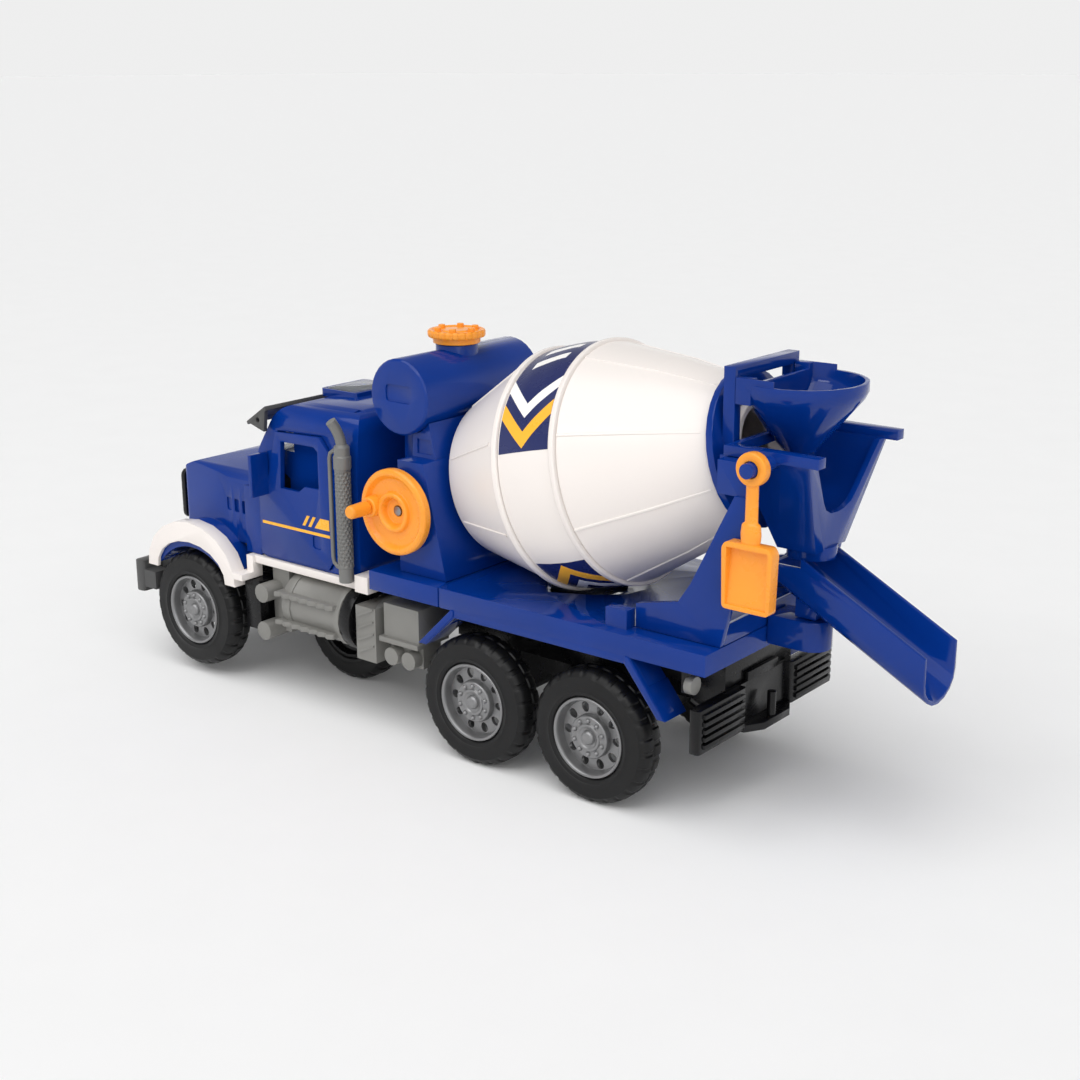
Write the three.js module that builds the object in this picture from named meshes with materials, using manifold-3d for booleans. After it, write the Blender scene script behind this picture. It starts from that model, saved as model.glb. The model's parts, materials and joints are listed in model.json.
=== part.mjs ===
// Toy cement mixer truck, in millimetres. Lengths along X (front is -X), widths along Y, +Z up.
// Everything is laid out with the rear axle above x = 0 and the wheels' floor at z = 0. The whole group is moved
// at the end, so that its origin is the bottom centre of its bounding box.
import * as THREE from "three";
import { mergeVertices } from "three/addons/utils/BufferGeometryUtils.js";
import Module from "manifold-3d";

const wasm = await Module();
wasm.setup();

// ---- Driving dimensions ----
const WHEEL_R = 25; // outside of the tread
const TYRE_SEAT_R = 15.3; // inside of the tyre
const RIM_R = 15; // outside of the rim, 0.3 mm inside the tyre
const TYRE_W = 13;
const TRACK_OUT = 45.5; // outer sidewall, either side of the middle
const REAR_X = 0;
const MID_X = -53.8;
const FRONT_X = -211.5;
const CENTRE_X = -154;
const CENTRE_WHEEL_Y = -4; // middle of the extra wheel under the cab
const AXLE_Z = 25;
const FRONT_AXLE_Z = 28.5; // the front wheels hang clear of the floor
const AXLE_R = 1.5;
const BORE_R = 1.6;
const BED_TOP = 66.8;
const HALF_W = 45;
const DRUM_TILT = THREE.MathUtils.degToRad(13.68);
const DRUM_AT = new THREE.Vector3(-40, 0, 108.15); // station 0 on the drum's axis
const DRUM_DIR = new THREE.Vector3(Math.cos(DRUM_TILT), 0, Math.sin(DRUM_TILT));
const CRANK_X = -92;
const CRANK_Z = 91.7;
const CHUTE_PIVOT_X = 62.5;
const GAP = 0.3; // between pieces that touch

// ---- Solids ----
// A three.js geometry as a solid that faces out.
function solid(geometry) {
  const bare = new THREE.BufferGeometry().setAttribute("position", geometry.getAttribute("position"));
  if (geometry.index) bare.setIndex(geometry.index);
  const merged = mergeVertices(bare, 1e-4);
  const kept = [];
  const source = merged.index.array;
  for (let i = 0; i < source.length; i += 3) {
    const [a, b, c] = [source[i], source[i + 1], source[i + 2]];
    if (a !== b && b !== c && a !== c) kept.push(a, b, c);
  }
  const build = (tris) =>
    new wasm.Manifold(
      new wasm.Mesh({
        numProp: 3,
        vertProperties: new Float32Array(merged.attributes.position.array),
        triVerts: new Uint32Array(tris),
      }),
    );
  const made = build(kept);
  if (made.volume() > 0) return made;
  const turned = kept.slice();
  for (let i = 0; i < turned.length; i += 3) [turned[i + 1], turned[i + 2]] = [turned[i + 2], turned[i + 1]];
  return build(turned);
}

const join = (...pieces) => pieces.flat().reduce((a, b) => a.add(b));
const cut = (body, ...tools) => tools.flat().reduce((a, b) => a.subtract(b), body);
const moved = (body, x, y, z) => body.translate([x, y, z]);
const mirrorY = (body) => body.mirror([0, 1, 0]);

function box(x0, x1, y0, y1, z0, z1) {
  const g = new THREE.BoxGeometry(x1 - x0, y1 - y0, z1 - z0);
  g.translate((x0 + x1) / 2, (y0 + y1) / 2, (z0 + z1) / 2);
  return solid(g);
}

function outline(points) {
  return new THREE.Shape(points.map(([a, b]) => new THREE.Vector2(a, b)));
}

// A rectangle with rounded corners, as outline points.
function roundedRect(a0, a1, b0, b1, r, steps = 3) {
  const points = [];
  const corners = [
    [a1 - r, b1 - r, 0],
    [a0 + r, b1 - r, 90],
    [a0 + r, b0 + r, 180],
    [a1 - r, b0 + r, 270],
  ];
  for (const [ca, cb, from] of corners)
    for (let i = 0; i <= steps; i++) {
      const t = THREE.MathUtils.degToRad(from + (90 * i) / steps);
      points.push([ca + r * Math.cos(t), cb + r * Math.sin(t)]);
    }
  return points;
}

const flatExtrude = (points, depth) =>
  new THREE.ExtrudeGeometry(outline(points), { depth, bevelEnabled: false, curveSegments: 1 });

// Outline given in (x, z), filled from y0 to y1.
function plateY(points, y0, y1) {
  const g = flatExtrude(points, y1 - y0);
  g.rotateX(Math.PI / 2);
  g.translate(0, y1, 0);
  return solid(g);
}

// Outline given in (y, z), filled from x0 to x1.
function plateX(points, x0, x1) {
  const g = flatExtrude(points, x1 - x0);
  g.applyMatrix4(
    new THREE.Matrix4().makeBasis(
      new THREE.Vector3(0, 1, 0),
      new THREE.Vector3(0, 0, 1),
      new THREE.Vector3(1, 0, 0),
    ),
  );
  g.translate(x0, 0, 0);
  return solid(g);
}

// Outline given in (x, y), filled from z0 to z1.
function plateZ(points, z0, z1) {
  const g = flatExtrude(points, z1 - z0);
  g.translate(0, 0, z0);
  return solid(g);
}

// A profile of [radius, distance] turned about the line through `at` along `dir`.
function turned(profile, at, dir, segments = 32) {
  const g = new THREE.LatheGeometry(
    profile.map(([r, s]) => new THREE.Vector2(r, s)),
    segments,
  );
  g.applyQuaternion(new THREE.Quaternion().setFromUnitVectors(new THREE.Vector3(0, 1, 0), dir));
  g.translate(at.x, at.y, at.z);
  return solid(g);
}

const AXIS_X = new THREE.Vector3(1, 0, 0);
const AXIS_Y = new THREE.Vector3(0, 1, 0);
const AXIS_Z = new THREE.Vector3(0, 0, 1);
const at = (x, y, z) => new THREE.Vector3(x, y, z);
const rod = (r, length, from, dir, segments = 20) =>
  turned([[0, 0], [r, 0], [r, length], [0, length]], from, dir, segments);
const rodX = (x0, x1, y, z, r, seg) => rod(r, x1 - x0, at(x0, y, z), AXIS_X, seg);
const rodY = (x, z, y0, y1, r, seg) => rod(r, y1 - y0, at(x, y0, z), AXIS_Y, seg);
const rodZ = (x, y, z0, z1, r, seg) => rod(r, z1 - z0, at(x, y, z0), AXIS_Z, seg);

// Something turned about the drum's own axis, stations along it.
const onDrum = (profile, segments = 32) => turned(profile, DRUM_AT, DRUM_DIR, segments);

// A solid with eight corners: a rectangle low down, and another above it.
function tapered(low, high) {
  const ring = ({ x: [x0, x1], y: [y0, y1], z }) => [x0, y0, z, x1, y0, z, x1, y1, z, x0, y1, z];
  const g = new THREE.BufferGeometry();
  g.setAttribute("position", new THREE.Float32BufferAttribute([...ring(low), ...ring(high)], 3));
  const ends = [0, 2, 1, 0, 3, 2, 4, 5, 6, 4, 6, 7];
  const sides = [0, 1, 2, 3].flatMap((i) => {
    const next = (i + 1) % 4;
    return [i, next, next + 4, i, next + 4, i + 4];
  });
  g.setIndex([...ends, ...sides]);
  return solid(g);
}

// A round bar that follows straight runs between points.
function bar(points, r, sides = 10) {
  const ring = [];
  for (let i = 0; i < sides; i++) {
    const t = (2 * Math.PI * i) / sides;
    ring.push([r * Math.cos(t), r * Math.sin(t)]);
  }
  const path = new THREE.CurvePath();
  for (let i = 1; i < points.length; i++)
    path.add(new THREE.LineCurve3(at(...points[i - 1]), at(...points[i])));
  const settings = { extrudePath: path, steps: (points.length - 1) * 2, curveSegments: 1 };
  return solid(new THREE.ExtrudeGeometry(outline(ring), settings));
}

const group = new THREE.Group();
group.name = "toy_cement_mixer";

const COLOURS = {
  blue: 0x1f4a9c,
  white: 0xf4f2ee,
  orange: 0xffa52e,
  grey: 0x8c8c88,
  black: 0x1c1c1d,
  tyre: 0x262626,
  silver: 0xb4b6b8,
  clear: 0xdfe6ea,
  steel: 0x9a9ca0,
};

function part(name, body, colour) {
  const made = body.getMesh();
  const g = new THREE.BufferGeometry();
  g.setAttribute("position", new THREE.BufferAttribute(new Float32Array(made.vertProperties), 3));
  g.setIndex(new THREE.BufferAttribute(new Uint32Array(made.triVerts), 1));
  g.computeVertexNormals();
  const material = new THREE.MeshStandardMaterial({ color: COLOURS[colour], roughness: 0.4 });
  const mesh = new THREE.Mesh(g, material);
  mesh.name = name;
  group.add(mesh);
}

// The same piece on the left (negative Y) and mirrored on the right.
function pair(name, body, colour) {
  part(`${name}_left`, body, colour);
  part(`${name}_right`, mirrorY(body), colour);
}

// ---- Wheels ----
// A tyre with a lugged tread, its axis along Y, centred on y = 0.
function makeTyre() {
  const columns = 28;
  const half = TYRE_W / 2;
  // radius, distance across, and whether the lugs reach there
  const profile = [
    [TYRE_SEAT_R, -half + 0.3, 0],
    [WHEEL_R - 3.2, -half, 0],
    [WHEEL_R, -half + 2.4, 1],
    [WHEEL_R, half - 2.4, 1],
    [WHEEL_R - 3.2, half, 0],
    [TYRE_SEAT_R, half - 0.3, 0],
  ];
  const positions = [];
  for (let i = 0; i < columns; i++) {
    const t = (2 * Math.PI * i) / columns;
    const low = i % 2 ? 0 : 1; // the lowest column, at 270 degrees, is a lug
    for (const [r, y, lug] of profile) {
      const radius = r - lug * low * 0.6;
      positions.push(radius * Math.cos(t), y, radius * Math.sin(t));
    }
  }
  const faces = [];
  const n = profile.length;
  for (let i = 0; i < columns; i++)
    for (let j = 0; j < n; j++) {
      const a = i * n + j;
      const b = i * n + ((j + 1) % n);
      const c = ((i + 1) % columns) * n + j;
      const d = ((i + 1) % columns) * n + ((j + 1) % n);
      faces.push(a, b, c, b, d, c);
    }
  const g = new THREE.BufferGeometry();
  g.setAttribute("position", new THREE.Float32BufferAttribute(positions, 3));
  g.setIndex(faces);
  return solid(g);
}

// A dished rim with ten oval holes; its outer side faces -Y, centred on y = 0.
function makeRim(holeCount) {
  const half = TYRE_W / 2;
  const dish = turned(
    [
      [AXLE_R + 0.05, -half + 5.4],
      [AXLE_R + 0.05, -half + 1.4],
      [7.8, -half + 1.4],
      [8.5, -half + 3.4],
      [12.9, -half + 3.4],
      [13.7, -half + 0.3],
      [RIM_R, -half + 0.3],
      [RIM_R, half - 0.5],
      [13.2, half - 0.5],
      [12.9, -half + 5.4],
      [AXLE_R + 0.05, -half + 5.4],
    ],
    at(0, 0, 0),
    AXIS_Y,
    20,
  );
  const holes = [];
  for (let i = 0; i < holeCount; i++) {
    const slot = [[-1.1, 9.2], [1.1, 9.2], [1.5, 12.2], [-1.5, 12.2]];
    holes.push(plateY(slot, -half + 1, -half + 7).rotate([0, (360 * i) / holeCount, 0]));
  }
  return cut(dish, holes);
}

const tyre = makeTyre();
const rim = makeRim(10);
const WHEEL_Y = TRACK_OUT - TYRE_W / 2;

function wheelPair(name, x, z) {
  part(`${name}_axle`, rodY(x, z, -WHEEL_Y - 3.6, WHEEL_Y + 3.6, AXLE_R, 16), "steel");
  part(`tyre_${name}_left`, moved(tyre, x, -WHEEL_Y, z), "tyre");
  part(`tyre_${name}_right`, moved(mirrorY(tyre), x, WHEEL_Y, z), "tyre");
  part(`rim_${name}_left`, moved(rim, x, -WHEEL_Y, z), "silver");
  part(`rim_${name}_right`, moved(mirrorY(rim), x, WHEEL_Y, z), "silver");
}
wheelPair("front", FRONT_X, FRONT_AXLE_Z);
wheelPair("mid", MID_X, AXLE_Z);
wheelPair("rear", REAR_X, AXLE_Z);
part("tyre_centre", moved(tyre, CENTRE_X, CENTRE_WHEEL_Y, AXLE_Z), "tyre");
part("rim_centre", moved(makeRim(0), CENTRE_X, CENTRE_WHEEL_Y, AXLE_Z), "silver");
part("centre_axle", rodY(CENTRE_X, AXLE_Z, CENTRE_WHEEL_Y - 13, CENTRE_WHEEL_Y + 13, AXLE_R, 16), "steel");

// ---- Chassis ----
// A bearing block under the frame, drilled across for an axle.
function bearing(x, z, halfWidth) {
  return join(
    box(x - 5, x + 5, -halfWidth, halfWidth, z - 1, 44),
    rodY(x, z, -halfWidth, halfWidth, 5, 12),
  );
}

const chassisBores = [
  rodY(FRONT_X, FRONT_AXLE_Z, -60, 60, BORE_R, 14),
  rodY(MID_X, AXLE_Z, -60, 60, BORE_R, 14),
  rodY(REAR_X, AXLE_Z, -60, 60, BORE_R, 14),
  rodY(CENTRE_X, AXLE_Z, -60, 60, BORE_R, 14),
];
const centreCheeks = [CENTRE_WHEEL_Y - 12.4, CENTRE_WHEEL_Y + 9.4].map((y) =>
  join(box(CENTRE_X - 6, CENTRE_X + 6, y, y + 3, AXLE_Z, 44), rodY(CENTRE_X, AXLE_Z, y, y + 3, 6, 16)),
);
const centreSlot = box(
  CENTRE_X - WHEEL_R - 2,
  CENTRE_X + WHEEL_R + 2,
  CENTRE_WHEEL_Y - 9.4,
  CENTRE_WHEEL_Y + 9.4,
  20,
  53,
);
const mudBox = box(-182.8, -174, -40, -30, 26, 47.4);
const chassis = cut(
  join(
    box(-232, 42, -16, 16, 40, 53.7),
    box(-80, 42, -22, 22, 40, 58.6),
    box(-106, 42, -16, 16, 50, 58.6),
    box(-238, -231, -16, 16, 34, 44),
    bearing(FRONT_X, FRONT_AXLE_Z, 22),
    bearing(MID_X, AXLE_Z, 22),
    bearing(REAR_X, AXLE_Z, 22),
    centreCheeks,
    mudBox,
    mirrorY(mudBox),
    box(-182.8, -176, -38, 38, 41, 47.4),
  ),
  centreSlot,
  chassisBores,
);
part("chassis", chassis, "black");

// ---- Bumpers and lamps ----
const frontBumper = join(
  plateZ(roundedRect(-250, -244.5, -HALF_W, HALF_W, 1.6, 2), 30, 44),
  box(-245, -238.3, -34, 34, 32, 43),
  box(-245, -237.2, -44, -36, 32, 40),
  box(-245, -237.2, 36, 44, 32, 40),
);
part("front_bumper", frontBumper, "grey");

// Two ribbed blocks with a pocket between them, which has a step and a towing pin at its foot.
const bumperBlock = join(
  plateZ(roundedRect(42.3, 46.6, 15, HALF_W, 1.2, 2), 30.8, 46.4),
  [0, 1, 2, 3, 4].map((i) => box(46.2, 47.6, 17.5, 42.5, 32.4 + i * 2.7, 33.9 + i * 2.7)),
);
const bumperPocket = join(
  box(42.3, 43.8, -16, 16, 30.8, 46.4),
  box(42.3, 43.8, -10, 10, 46, 49.6),
  plateZ(
    [
      [43, -16],
      [46.2, -15.5],
      [50.2, -8.5],
      [50.2, 8.5],
      [46.2, 15.5],
      [43, 16],
    ],
    29.4,
    32,
  ),
  rodZ(47.6, 0, 31, 40.6, 1.6, 16),
);
const rearBumper = join(bumperBlock, mirrorY(bumperBlock), bumperPocket);
part("rear_bumper", rearBumper, "black");
pair("tail_lamp", join(
  rodX(38.4, 41.4, -39.5, 53, 3.2, 16),
  box(36.6, 39, -41, -38, 50, 58.8),
), "grey");

// ---- Bed with its rear mudguards ----
function mudguard() {
  const t = 3;
  const top = 59.6;
  return plateY(
    [
      [-80, 43],
      [-63, top],
      [17.5, top],
      [33, 39.5],
      [29.6, 39.5],
      [15.7, top - t],
      [-61.6, top - t],
      [-76, 43],
    ],
    -HALF_W,
    -32,
  );
}
const bed = cut(
  join(
    box(-105, 48.4, -HALF_W, HALF_W, 59.2, BED_TOP),
    mudguard(),
    mirrorY(mudguard()),
    box(4, 13, -40, -35, 66, 73.5),
    box(4, 13, 35, 40, 66, 73.5),
  ),
  box(-103, 46.4, -42.8, 42.8, 50, 64.4).subtract(
    join(box(-70, -66, -44, 44, 50, 65), box(14, 18, -44, 44, 50, 65)),
  ),
  onDrum([[0, -30], [32, -30], [48, -6], [48, 32], [30, 50], [0, 50]]),
  box(-69.6, -68.8, -46, -44.4, 58, 70),
  box(-69.6, -68.8, 44.4, 46, 58, 70),
);
part("bed", bed, "blue");

// ---- Drive housing, water tank and crank ----
const HOUSING_TOP = 110.6;
const TANK_X = -97.9;
const TANK_Z = 133;
const TANK_R = 14.6;
const DRUM_SLOPE = Math.tan(DRUM_TILT);
// The drum's front face leans with its axis; this is the x of a parallel plane at height z.
const leaning = (z, offset) => DRUM_AT.x + offset - (z - DRUM_AT.z) * DRUM_SLOPE;
const WALL_BACK = -41.0; // offset of the housing's rear wall from the drum's station 0
const HOUSING_X = -94.4; // front of the housing's side walls
const HOUSING_NOSE = -106; // front of its narrower middle, ahead of the crank's shaft
const NECK_TOP = 124;
// A block with a leaning rear face, between two heights.
const housingBlock = (front, z0, z1, halfWidth, offset) =>
  plateY(
    [
      [front, z0],
      [leaning(z0, offset), z0],
      [leaning(z1, offset), z1],
      [front, z1],
    ],
    -halfWidth,
    halfWidth,
  );
const housingShell = cut(
  join(
    housingBlock(HOUSING_X, BED_TOP + GAP, HOUSING_TOP, 38.5, WALL_BACK),
    housingBlock(HOUSING_X, HOUSING_TOP - 1, NECK_TOP, 30, WALL_BACK - 1),
    housingBlock(HOUSING_NOSE, BED_TOP + GAP, NECK_TOP, 22, WALL_BACK - 1),
    rodY(CRANK_X, CRANK_Z, -38.5, -20, 4.4, 20),
  ),
  housingBlock(HOUSING_X + 2, 60, HOUSING_TOP - 2, 36.5, WALL_BACK - 2)
    .subtract(rodY(CRANK_X, CRANK_Z, -38.5, -20, 4.4, 20)),
  housingBlock(HOUSING_NOSE + 2, 60, 116, 19.8, WALL_BACK - 3),
  rodY(TANK_X, TANK_Z, -60, 60, TANK_R + GAP, 32),
  box(-92, -85, -31, -29.2, 112, 117.6),
  box(-92, -85, 29.2, 31, 112, 117.6),
  rodY(CRANK_X, CRANK_Z, -45, -10, 2.0, 20),
  rod(2.5, 12, DRUM_AT.clone().addScaledVector(DRUM_DIR, -46), DRUM_DIR, 20),
);
part("drive_housing", housingShell, "blue");

const tankBody = cut(
  turned(
    [
      [0, -33.5],
      [TANK_R - 0.8, -33.5],
      [TANK_R, -32.7],
      [TANK_R, 32.7],
      [TANK_R - 0.8, 33.5],
      [0, 33.5],
    ],
    at(TANK_X, 0, TANK_Z),
    AXIS_Y,
    32,
  ),
  plateY(roundedRect(TANK_X - 6.5, TANK_X + 6.5, TANK_Z - 2, TANK_Z + 4.5, 1.5, 2), -34, -32.6),
  plateY(roundedRect(TANK_X - 6.5, TANK_X + 6.5, TANK_Z - 2, TANK_Z + 4.5, 1.5, 2), 32.6, 34),
  rodZ(TANK_X, 0, 128, 150, 5.6, 24),
);
const tankNeck = cut(rodZ(TANK_X, 0, 145, 149.3, 8.2, 24), rodZ(TANK_X, 0, 128, 150, 5.6, 24));
part("water_tank", join(tankBody, tankNeck), "blue");
const capKnurls = [];
for (let i = 0; i < 6; i++) {
  const t = (2 * Math.PI * i) / 6;
  capKnurls.push(rodZ(TANK_X + 7.6 * Math.cos(t), 7.6 * Math.sin(t), 154, 155.8, 1.3, 8));
}
const tankCap = join(
  turned(
    [
      [0, 144],
      [5.2, 144],
      [5.2, 149.6],
      [9.2, 149.6],
      [9.2, 152],
      [10.7, 152],
      [11.2, 152.5],
      [11.2, 154.2],
      [10.7, 154.7],
      [0, 154.7],
    ],
    at(TANK_X, 0, 0),
    AXIS_Z,
    24,
  ),
  capKnurls,
);
part("tank_cap", tankCap, "orange");

// Crank: a dished disc outside the left wall, with a turning knob near its rim.
const DISC_R = 16.6;
const crankDisc = cut(
  turned(
    [
      [0, -39.2],
      [5.2, -39.2],
      [5.2, -40.6],
      [15.6, -40.6],
      [DISC_R, -41.4],
      [DISC_R, -44],
      [15.6, -45],
      [14, -45],
      [12.8, -43],
      [7.2, -43],
      [6.2, -45.2],
      [4.6, -45.2],
      [4.2, -42.2],
      [0, -42.2],
    ],
    at(CRANK_X, 0, CRANK_Z),
    AXIS_Y,
    24,
  ),
  rodY(CRANK_X, CRANK_Z, -50, -30, 2.05, 14),
);
const KNOB_ANGLE = THREE.MathUtils.degToRad(176);
const KNOB_X = CRANK_X + 10.6 * Math.cos(KNOB_ANGLE);
const KNOB_Z = CRANK_Z + 10.6 * Math.sin(KNOB_ANGLE);
const knobBoss = cut(
  rodY(KNOB_X, KNOB_Z, -47, -42, 3.9, 20),
  rodY(KNOB_X, KNOB_Z, -50, -41.5, 1.75, 16),
);
part("crank_disc", join(crankDisc.subtract(rodY(KNOB_X, KNOB_Z, -50, -41.5, 1.75, 16)), knobBoss), "orange");
part("crank_knob", turned(
  [
    [0, -43],
    [1.6, -43],
    [1.6, -47.3],
    [2.7, -47.3],
    [2.7, -56],
    [1.9, -57],
    [0, -57],
  ],
  at(KNOB_X, 0, KNOB_Z),
  AXIS_Y,
  20,
), "orange");

// Face gear on the drum's spindle, driven by a spur pinion on the crank's shaft.
const PINION_TEETH = 12;
const FACE_TEETH = 24;
const GEAR_MODULE = 1;
const PINION_R = (GEAR_MODULE * PINION_TEETH) / 2;
const FACE_R = (GEAR_MODULE * FACE_TEETH) / 2;
const CRANK_STATION = (CRANK_X - DRUM_AT.x) * DRUM_DIR.x + (CRANK_Z - DRUM_AT.z) * DRUM_DIR.z;
const CRANK_BELOW = (CRANK_X - DRUM_AT.x) * DRUM_DIR.z - (CRANK_Z - DRUM_AT.z) * DRUM_DIR.x;
const FACE_STATION = CRANK_STATION + PINION_R; // pitch plane of the face gear
const pinionTeeth = [];
for (let i = 0; i < PINION_TEETH; i++) {
  const tooth = plateY(
    [
      [-0.7, 4],
      [0.7, 4],
      [0.3, PINION_R + 0.8],
      [-0.3, PINION_R + 0.8],
    ],
    -13.4,
    -10.4,
  );
  pinionTeeth.push(tooth.rotate([0, 90 + (360 * i) / PINION_TEETH - THREE.MathUtils.radToDeg(DRUM_TILT), 0]));
}
const crankGear = moved(
  cut(join(rodY(0, 0, -13.4, -10.4, PINION_R - 1.2, 20), pinionTeeth), rodY(0, 0, -20, -5, 1.98, 16)),
  CRANK_X,
  0,
  CRANK_Z,
);
part("crank_pinion", crankGear, "white");
part("crank_shaft", rodY(CRANK_X, CRANK_Z, -42, -12, 1.9, 16), "steel");

const faceTeeth = [];
const PINION_Y = -11.9; // middle of the pinion
const MESH_ANGLE = THREE.MathUtils.radToDeg(Math.atan2(CRANK_BELOW, -PINION_Y));
for (let i = 0; i < FACE_TEETH; i++) {
  const tooth = tapered(
    { x: [FACE_R - 2.2, FACE_R + 2.2], y: [-0.35, 0.35], z: -0.8 },
    { x: [FACE_R - 2.2, FACE_R + 2.2], y: [-0.65, 0.65], z: 1.4 },
  );
  faceTeeth.push(tooth.rotate([0, 0, ((i + 0.5) * 360) / FACE_TEETH]));
}
// Build the gear on the z axis, then lay that axis along the drum's with the mesh point at its left.
const gearOnZ = cut(
  join(
    turned(
      [
        [0, 1.3],
        [FACE_R + 2.2, 1.3],
        [FACE_R + 2.2, 2.8],
        [4.2, 2.8],
        [4.2, 4.6],
        [0, 4.6],
      ],
      at(0, 0, 0),
      AXIS_Z,
      24,
    ),
    faceTeeth,
  ),
  rodZ(0, 0, -5, 12, 2.48, 20),
);
const tiltDeg = THREE.MathUtils.radToDeg(DRUM_TILT);
const drumGear = gearOnZ
  .rotate([0, 0, -90 + MESH_ANGLE])
  .rotate([0, 90, 0])
  .rotate([0, -tiltDeg, 0])
  .translate([
    DRUM_AT.x + DRUM_DIR.x * FACE_STATION,
    0,
    DRUM_AT.z + DRUM_DIR.z * FACE_STATION,
  ]);
part("drum_gear", drumGear, "white");
part("drum_spindle", onDrum([[0, FACE_STATION + 1.8], [2.4, FACE_STATION + 1.8], [2.4, -34.2], [0, -34.2]], 20), "steel");

// ---- Drum ----
// Eight low straight ribs along a cone between two stations.
function coneRibs(s0, r0, s1, r1) {
  const ribs = [];
  for (let i = 0; i < 8; i++) {
    const g = new THREE.BufferGeometry();
    const corners = [];
    for (const [s, r] of [[s0, r0], [s1, r1]])
      for (const [out, side] of [[-0.9, -0.55], [-0.9, 0.55], [0.45, 0.35], [0.45, -0.35]])
        corners.push(r + out, s, side);
    g.setAttribute("position", new THREE.Float32BufferAttribute(corners, 3));
    const ends = [0, 1, 2, 0, 2, 3, 4, 6, 5, 4, 7, 6];
    const sides = [0, 1, 2, 3].flatMap((k) => {
      const next = (k + 1) % 4;
      return [k, k + 4, next + 4, k, next + 4, next];
    });
    g.setIndex([...ends, ...sides]);
    g.rotateY((2 * Math.PI * (i + 0.5)) / 8);
    g.applyQuaternion(new THREE.Quaternion().setFromUnitVectors(AXIS_Y, DRUM_DIR));
    g.translate(DRUM_AT.x, DRUM_AT.y, DRUM_AT.z);
    ribs.push(solid(g));
  }
  return ribs;
}
const drumFront = join(
  onDrum([
    [2.45, -37.1],
    [28.8, -37.1],
    [30.45, -36.1],
    [44.6, -1.5],
    [45.8, -1.2],
    [45.8, 1.2],
    [43, 1.2],
    [28.6, -34.6],
    [2.45, -34.6],
    [2.45, -37.1],
  ]),
  coneRibs(-34, 31.4, -2, 44.5),
);
part("drum_front_cone", drumFront, "white");
part("drum_band", onDrum([
  [44.6, 1.5],
  [45.2, 9],
  [45.1, 17],
  [44.1, 24.6],
  [42.2, 24.6],
  [43, 1.5],
  [44.6, 1.5],
]), "white");
const drumRear = join(
  onDrum([
    [42.2, 24.9],
    [45.2, 24.9],
    [45.2, 27.1],
    [43.8, 27.5],
    [34.6, 54],
    [24.6, 77.4],
    [16.2, 77.5],
    [16.2, 83.6],
    [14, 83.6],
    [14, 75.9],
    [23.4, 75.9],
    [33, 53.4],
    [42.2, 27.4],
    [42.2, 24.9],
  ]),
  coneRibs(28, 43.7, 53, 34.9),
);
part("drum_rear_cone", drumRear, "white");

// ---- Rear tower: side plates, collar round the drum's neck, gate frame ----
const sidePlate = plateY(
  [
    [14, BED_TOP + GAP],
    [48.2, BED_TOP + GAP],
    [56, 100],
    [56, 119.5],
    [52, 119.5],
    [36, 87],
    [31, 79.5],
    [14, 75.6],
  ],
  -36,
  -33.6,
);
const towerArm = join(box(44, 56, -34, -27, 119, 130.3), box(41, 45.8, -28, -17.2, 120, 130.3));
const COLLAR_R = 27.6;
const collar = onDrum([[16.6, 78.4], [COLLAR_R, 78.4], [COLLAR_R, 81], [16.6, 81], [16.6, 78.4]]);
const drumEnvelope = onDrum([[0, 50], [37.5, 50], [25.3, 77.9], [0, 77.9]]);
const tower = join(
  sidePlate,
  mirrorY(sidePlate),
  box(46.9, 48.2, -34, 34, BED_TOP + GAP, 74),
  towerArm,
  mirrorY(towerArm),
  collar,
  cut(box(37, 41.4, -20.5, 20.5, 118, 158), box(36, 42.4, -16.7, 16.7, 116, 154), drumEnvelope),
);
part("rear_tower", tower, "blue");

// ---- Funnel ----
const FUNNEL_X = 54.6;
const FUNNEL_R = 22;
const FUNNEL_FRONT = 46; // the cone is cut off flat here, towards the drum
const funnelOutside = [
  [0, 128.5],
  [5.6, 128.5],
  [20.8, 147],
  [FUNNEL_R, 149.6],
  [FUNNEL_R, 152.8],
  [0, 152.8],
];
const funnelInside = [
  [0, 125],
  [4.2, 125],
  [4.2, 129],
  [19.4, 147.6],
  [20.5, 150.2],
  [20.5, 159],
  [0, 159],
];
const funnelCone = (profile, front) =>
  turned(profile, at(FUNNEL_X, 0, 0), AXIS_Z, 32).intersect(box(front, 90, -30, 30, 120, 160));
const funnelBracket = join(
  box(41.8, 56, -20.9, -18.8, 150, 154.8),
  box(41.8, 47.6, -20.9, -17, 146, 154.8),
);
const funnel = cut(
  join(
    funnelCone(funnelOutside, FUNNEL_FRONT),
    funnelBracket,
    mirrorY(funnelBracket),
  ),
  funnelCone(funnelInside, FUNNEL_FRONT + 1.6),
);
part("funnel", funnel, "blue");

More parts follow.
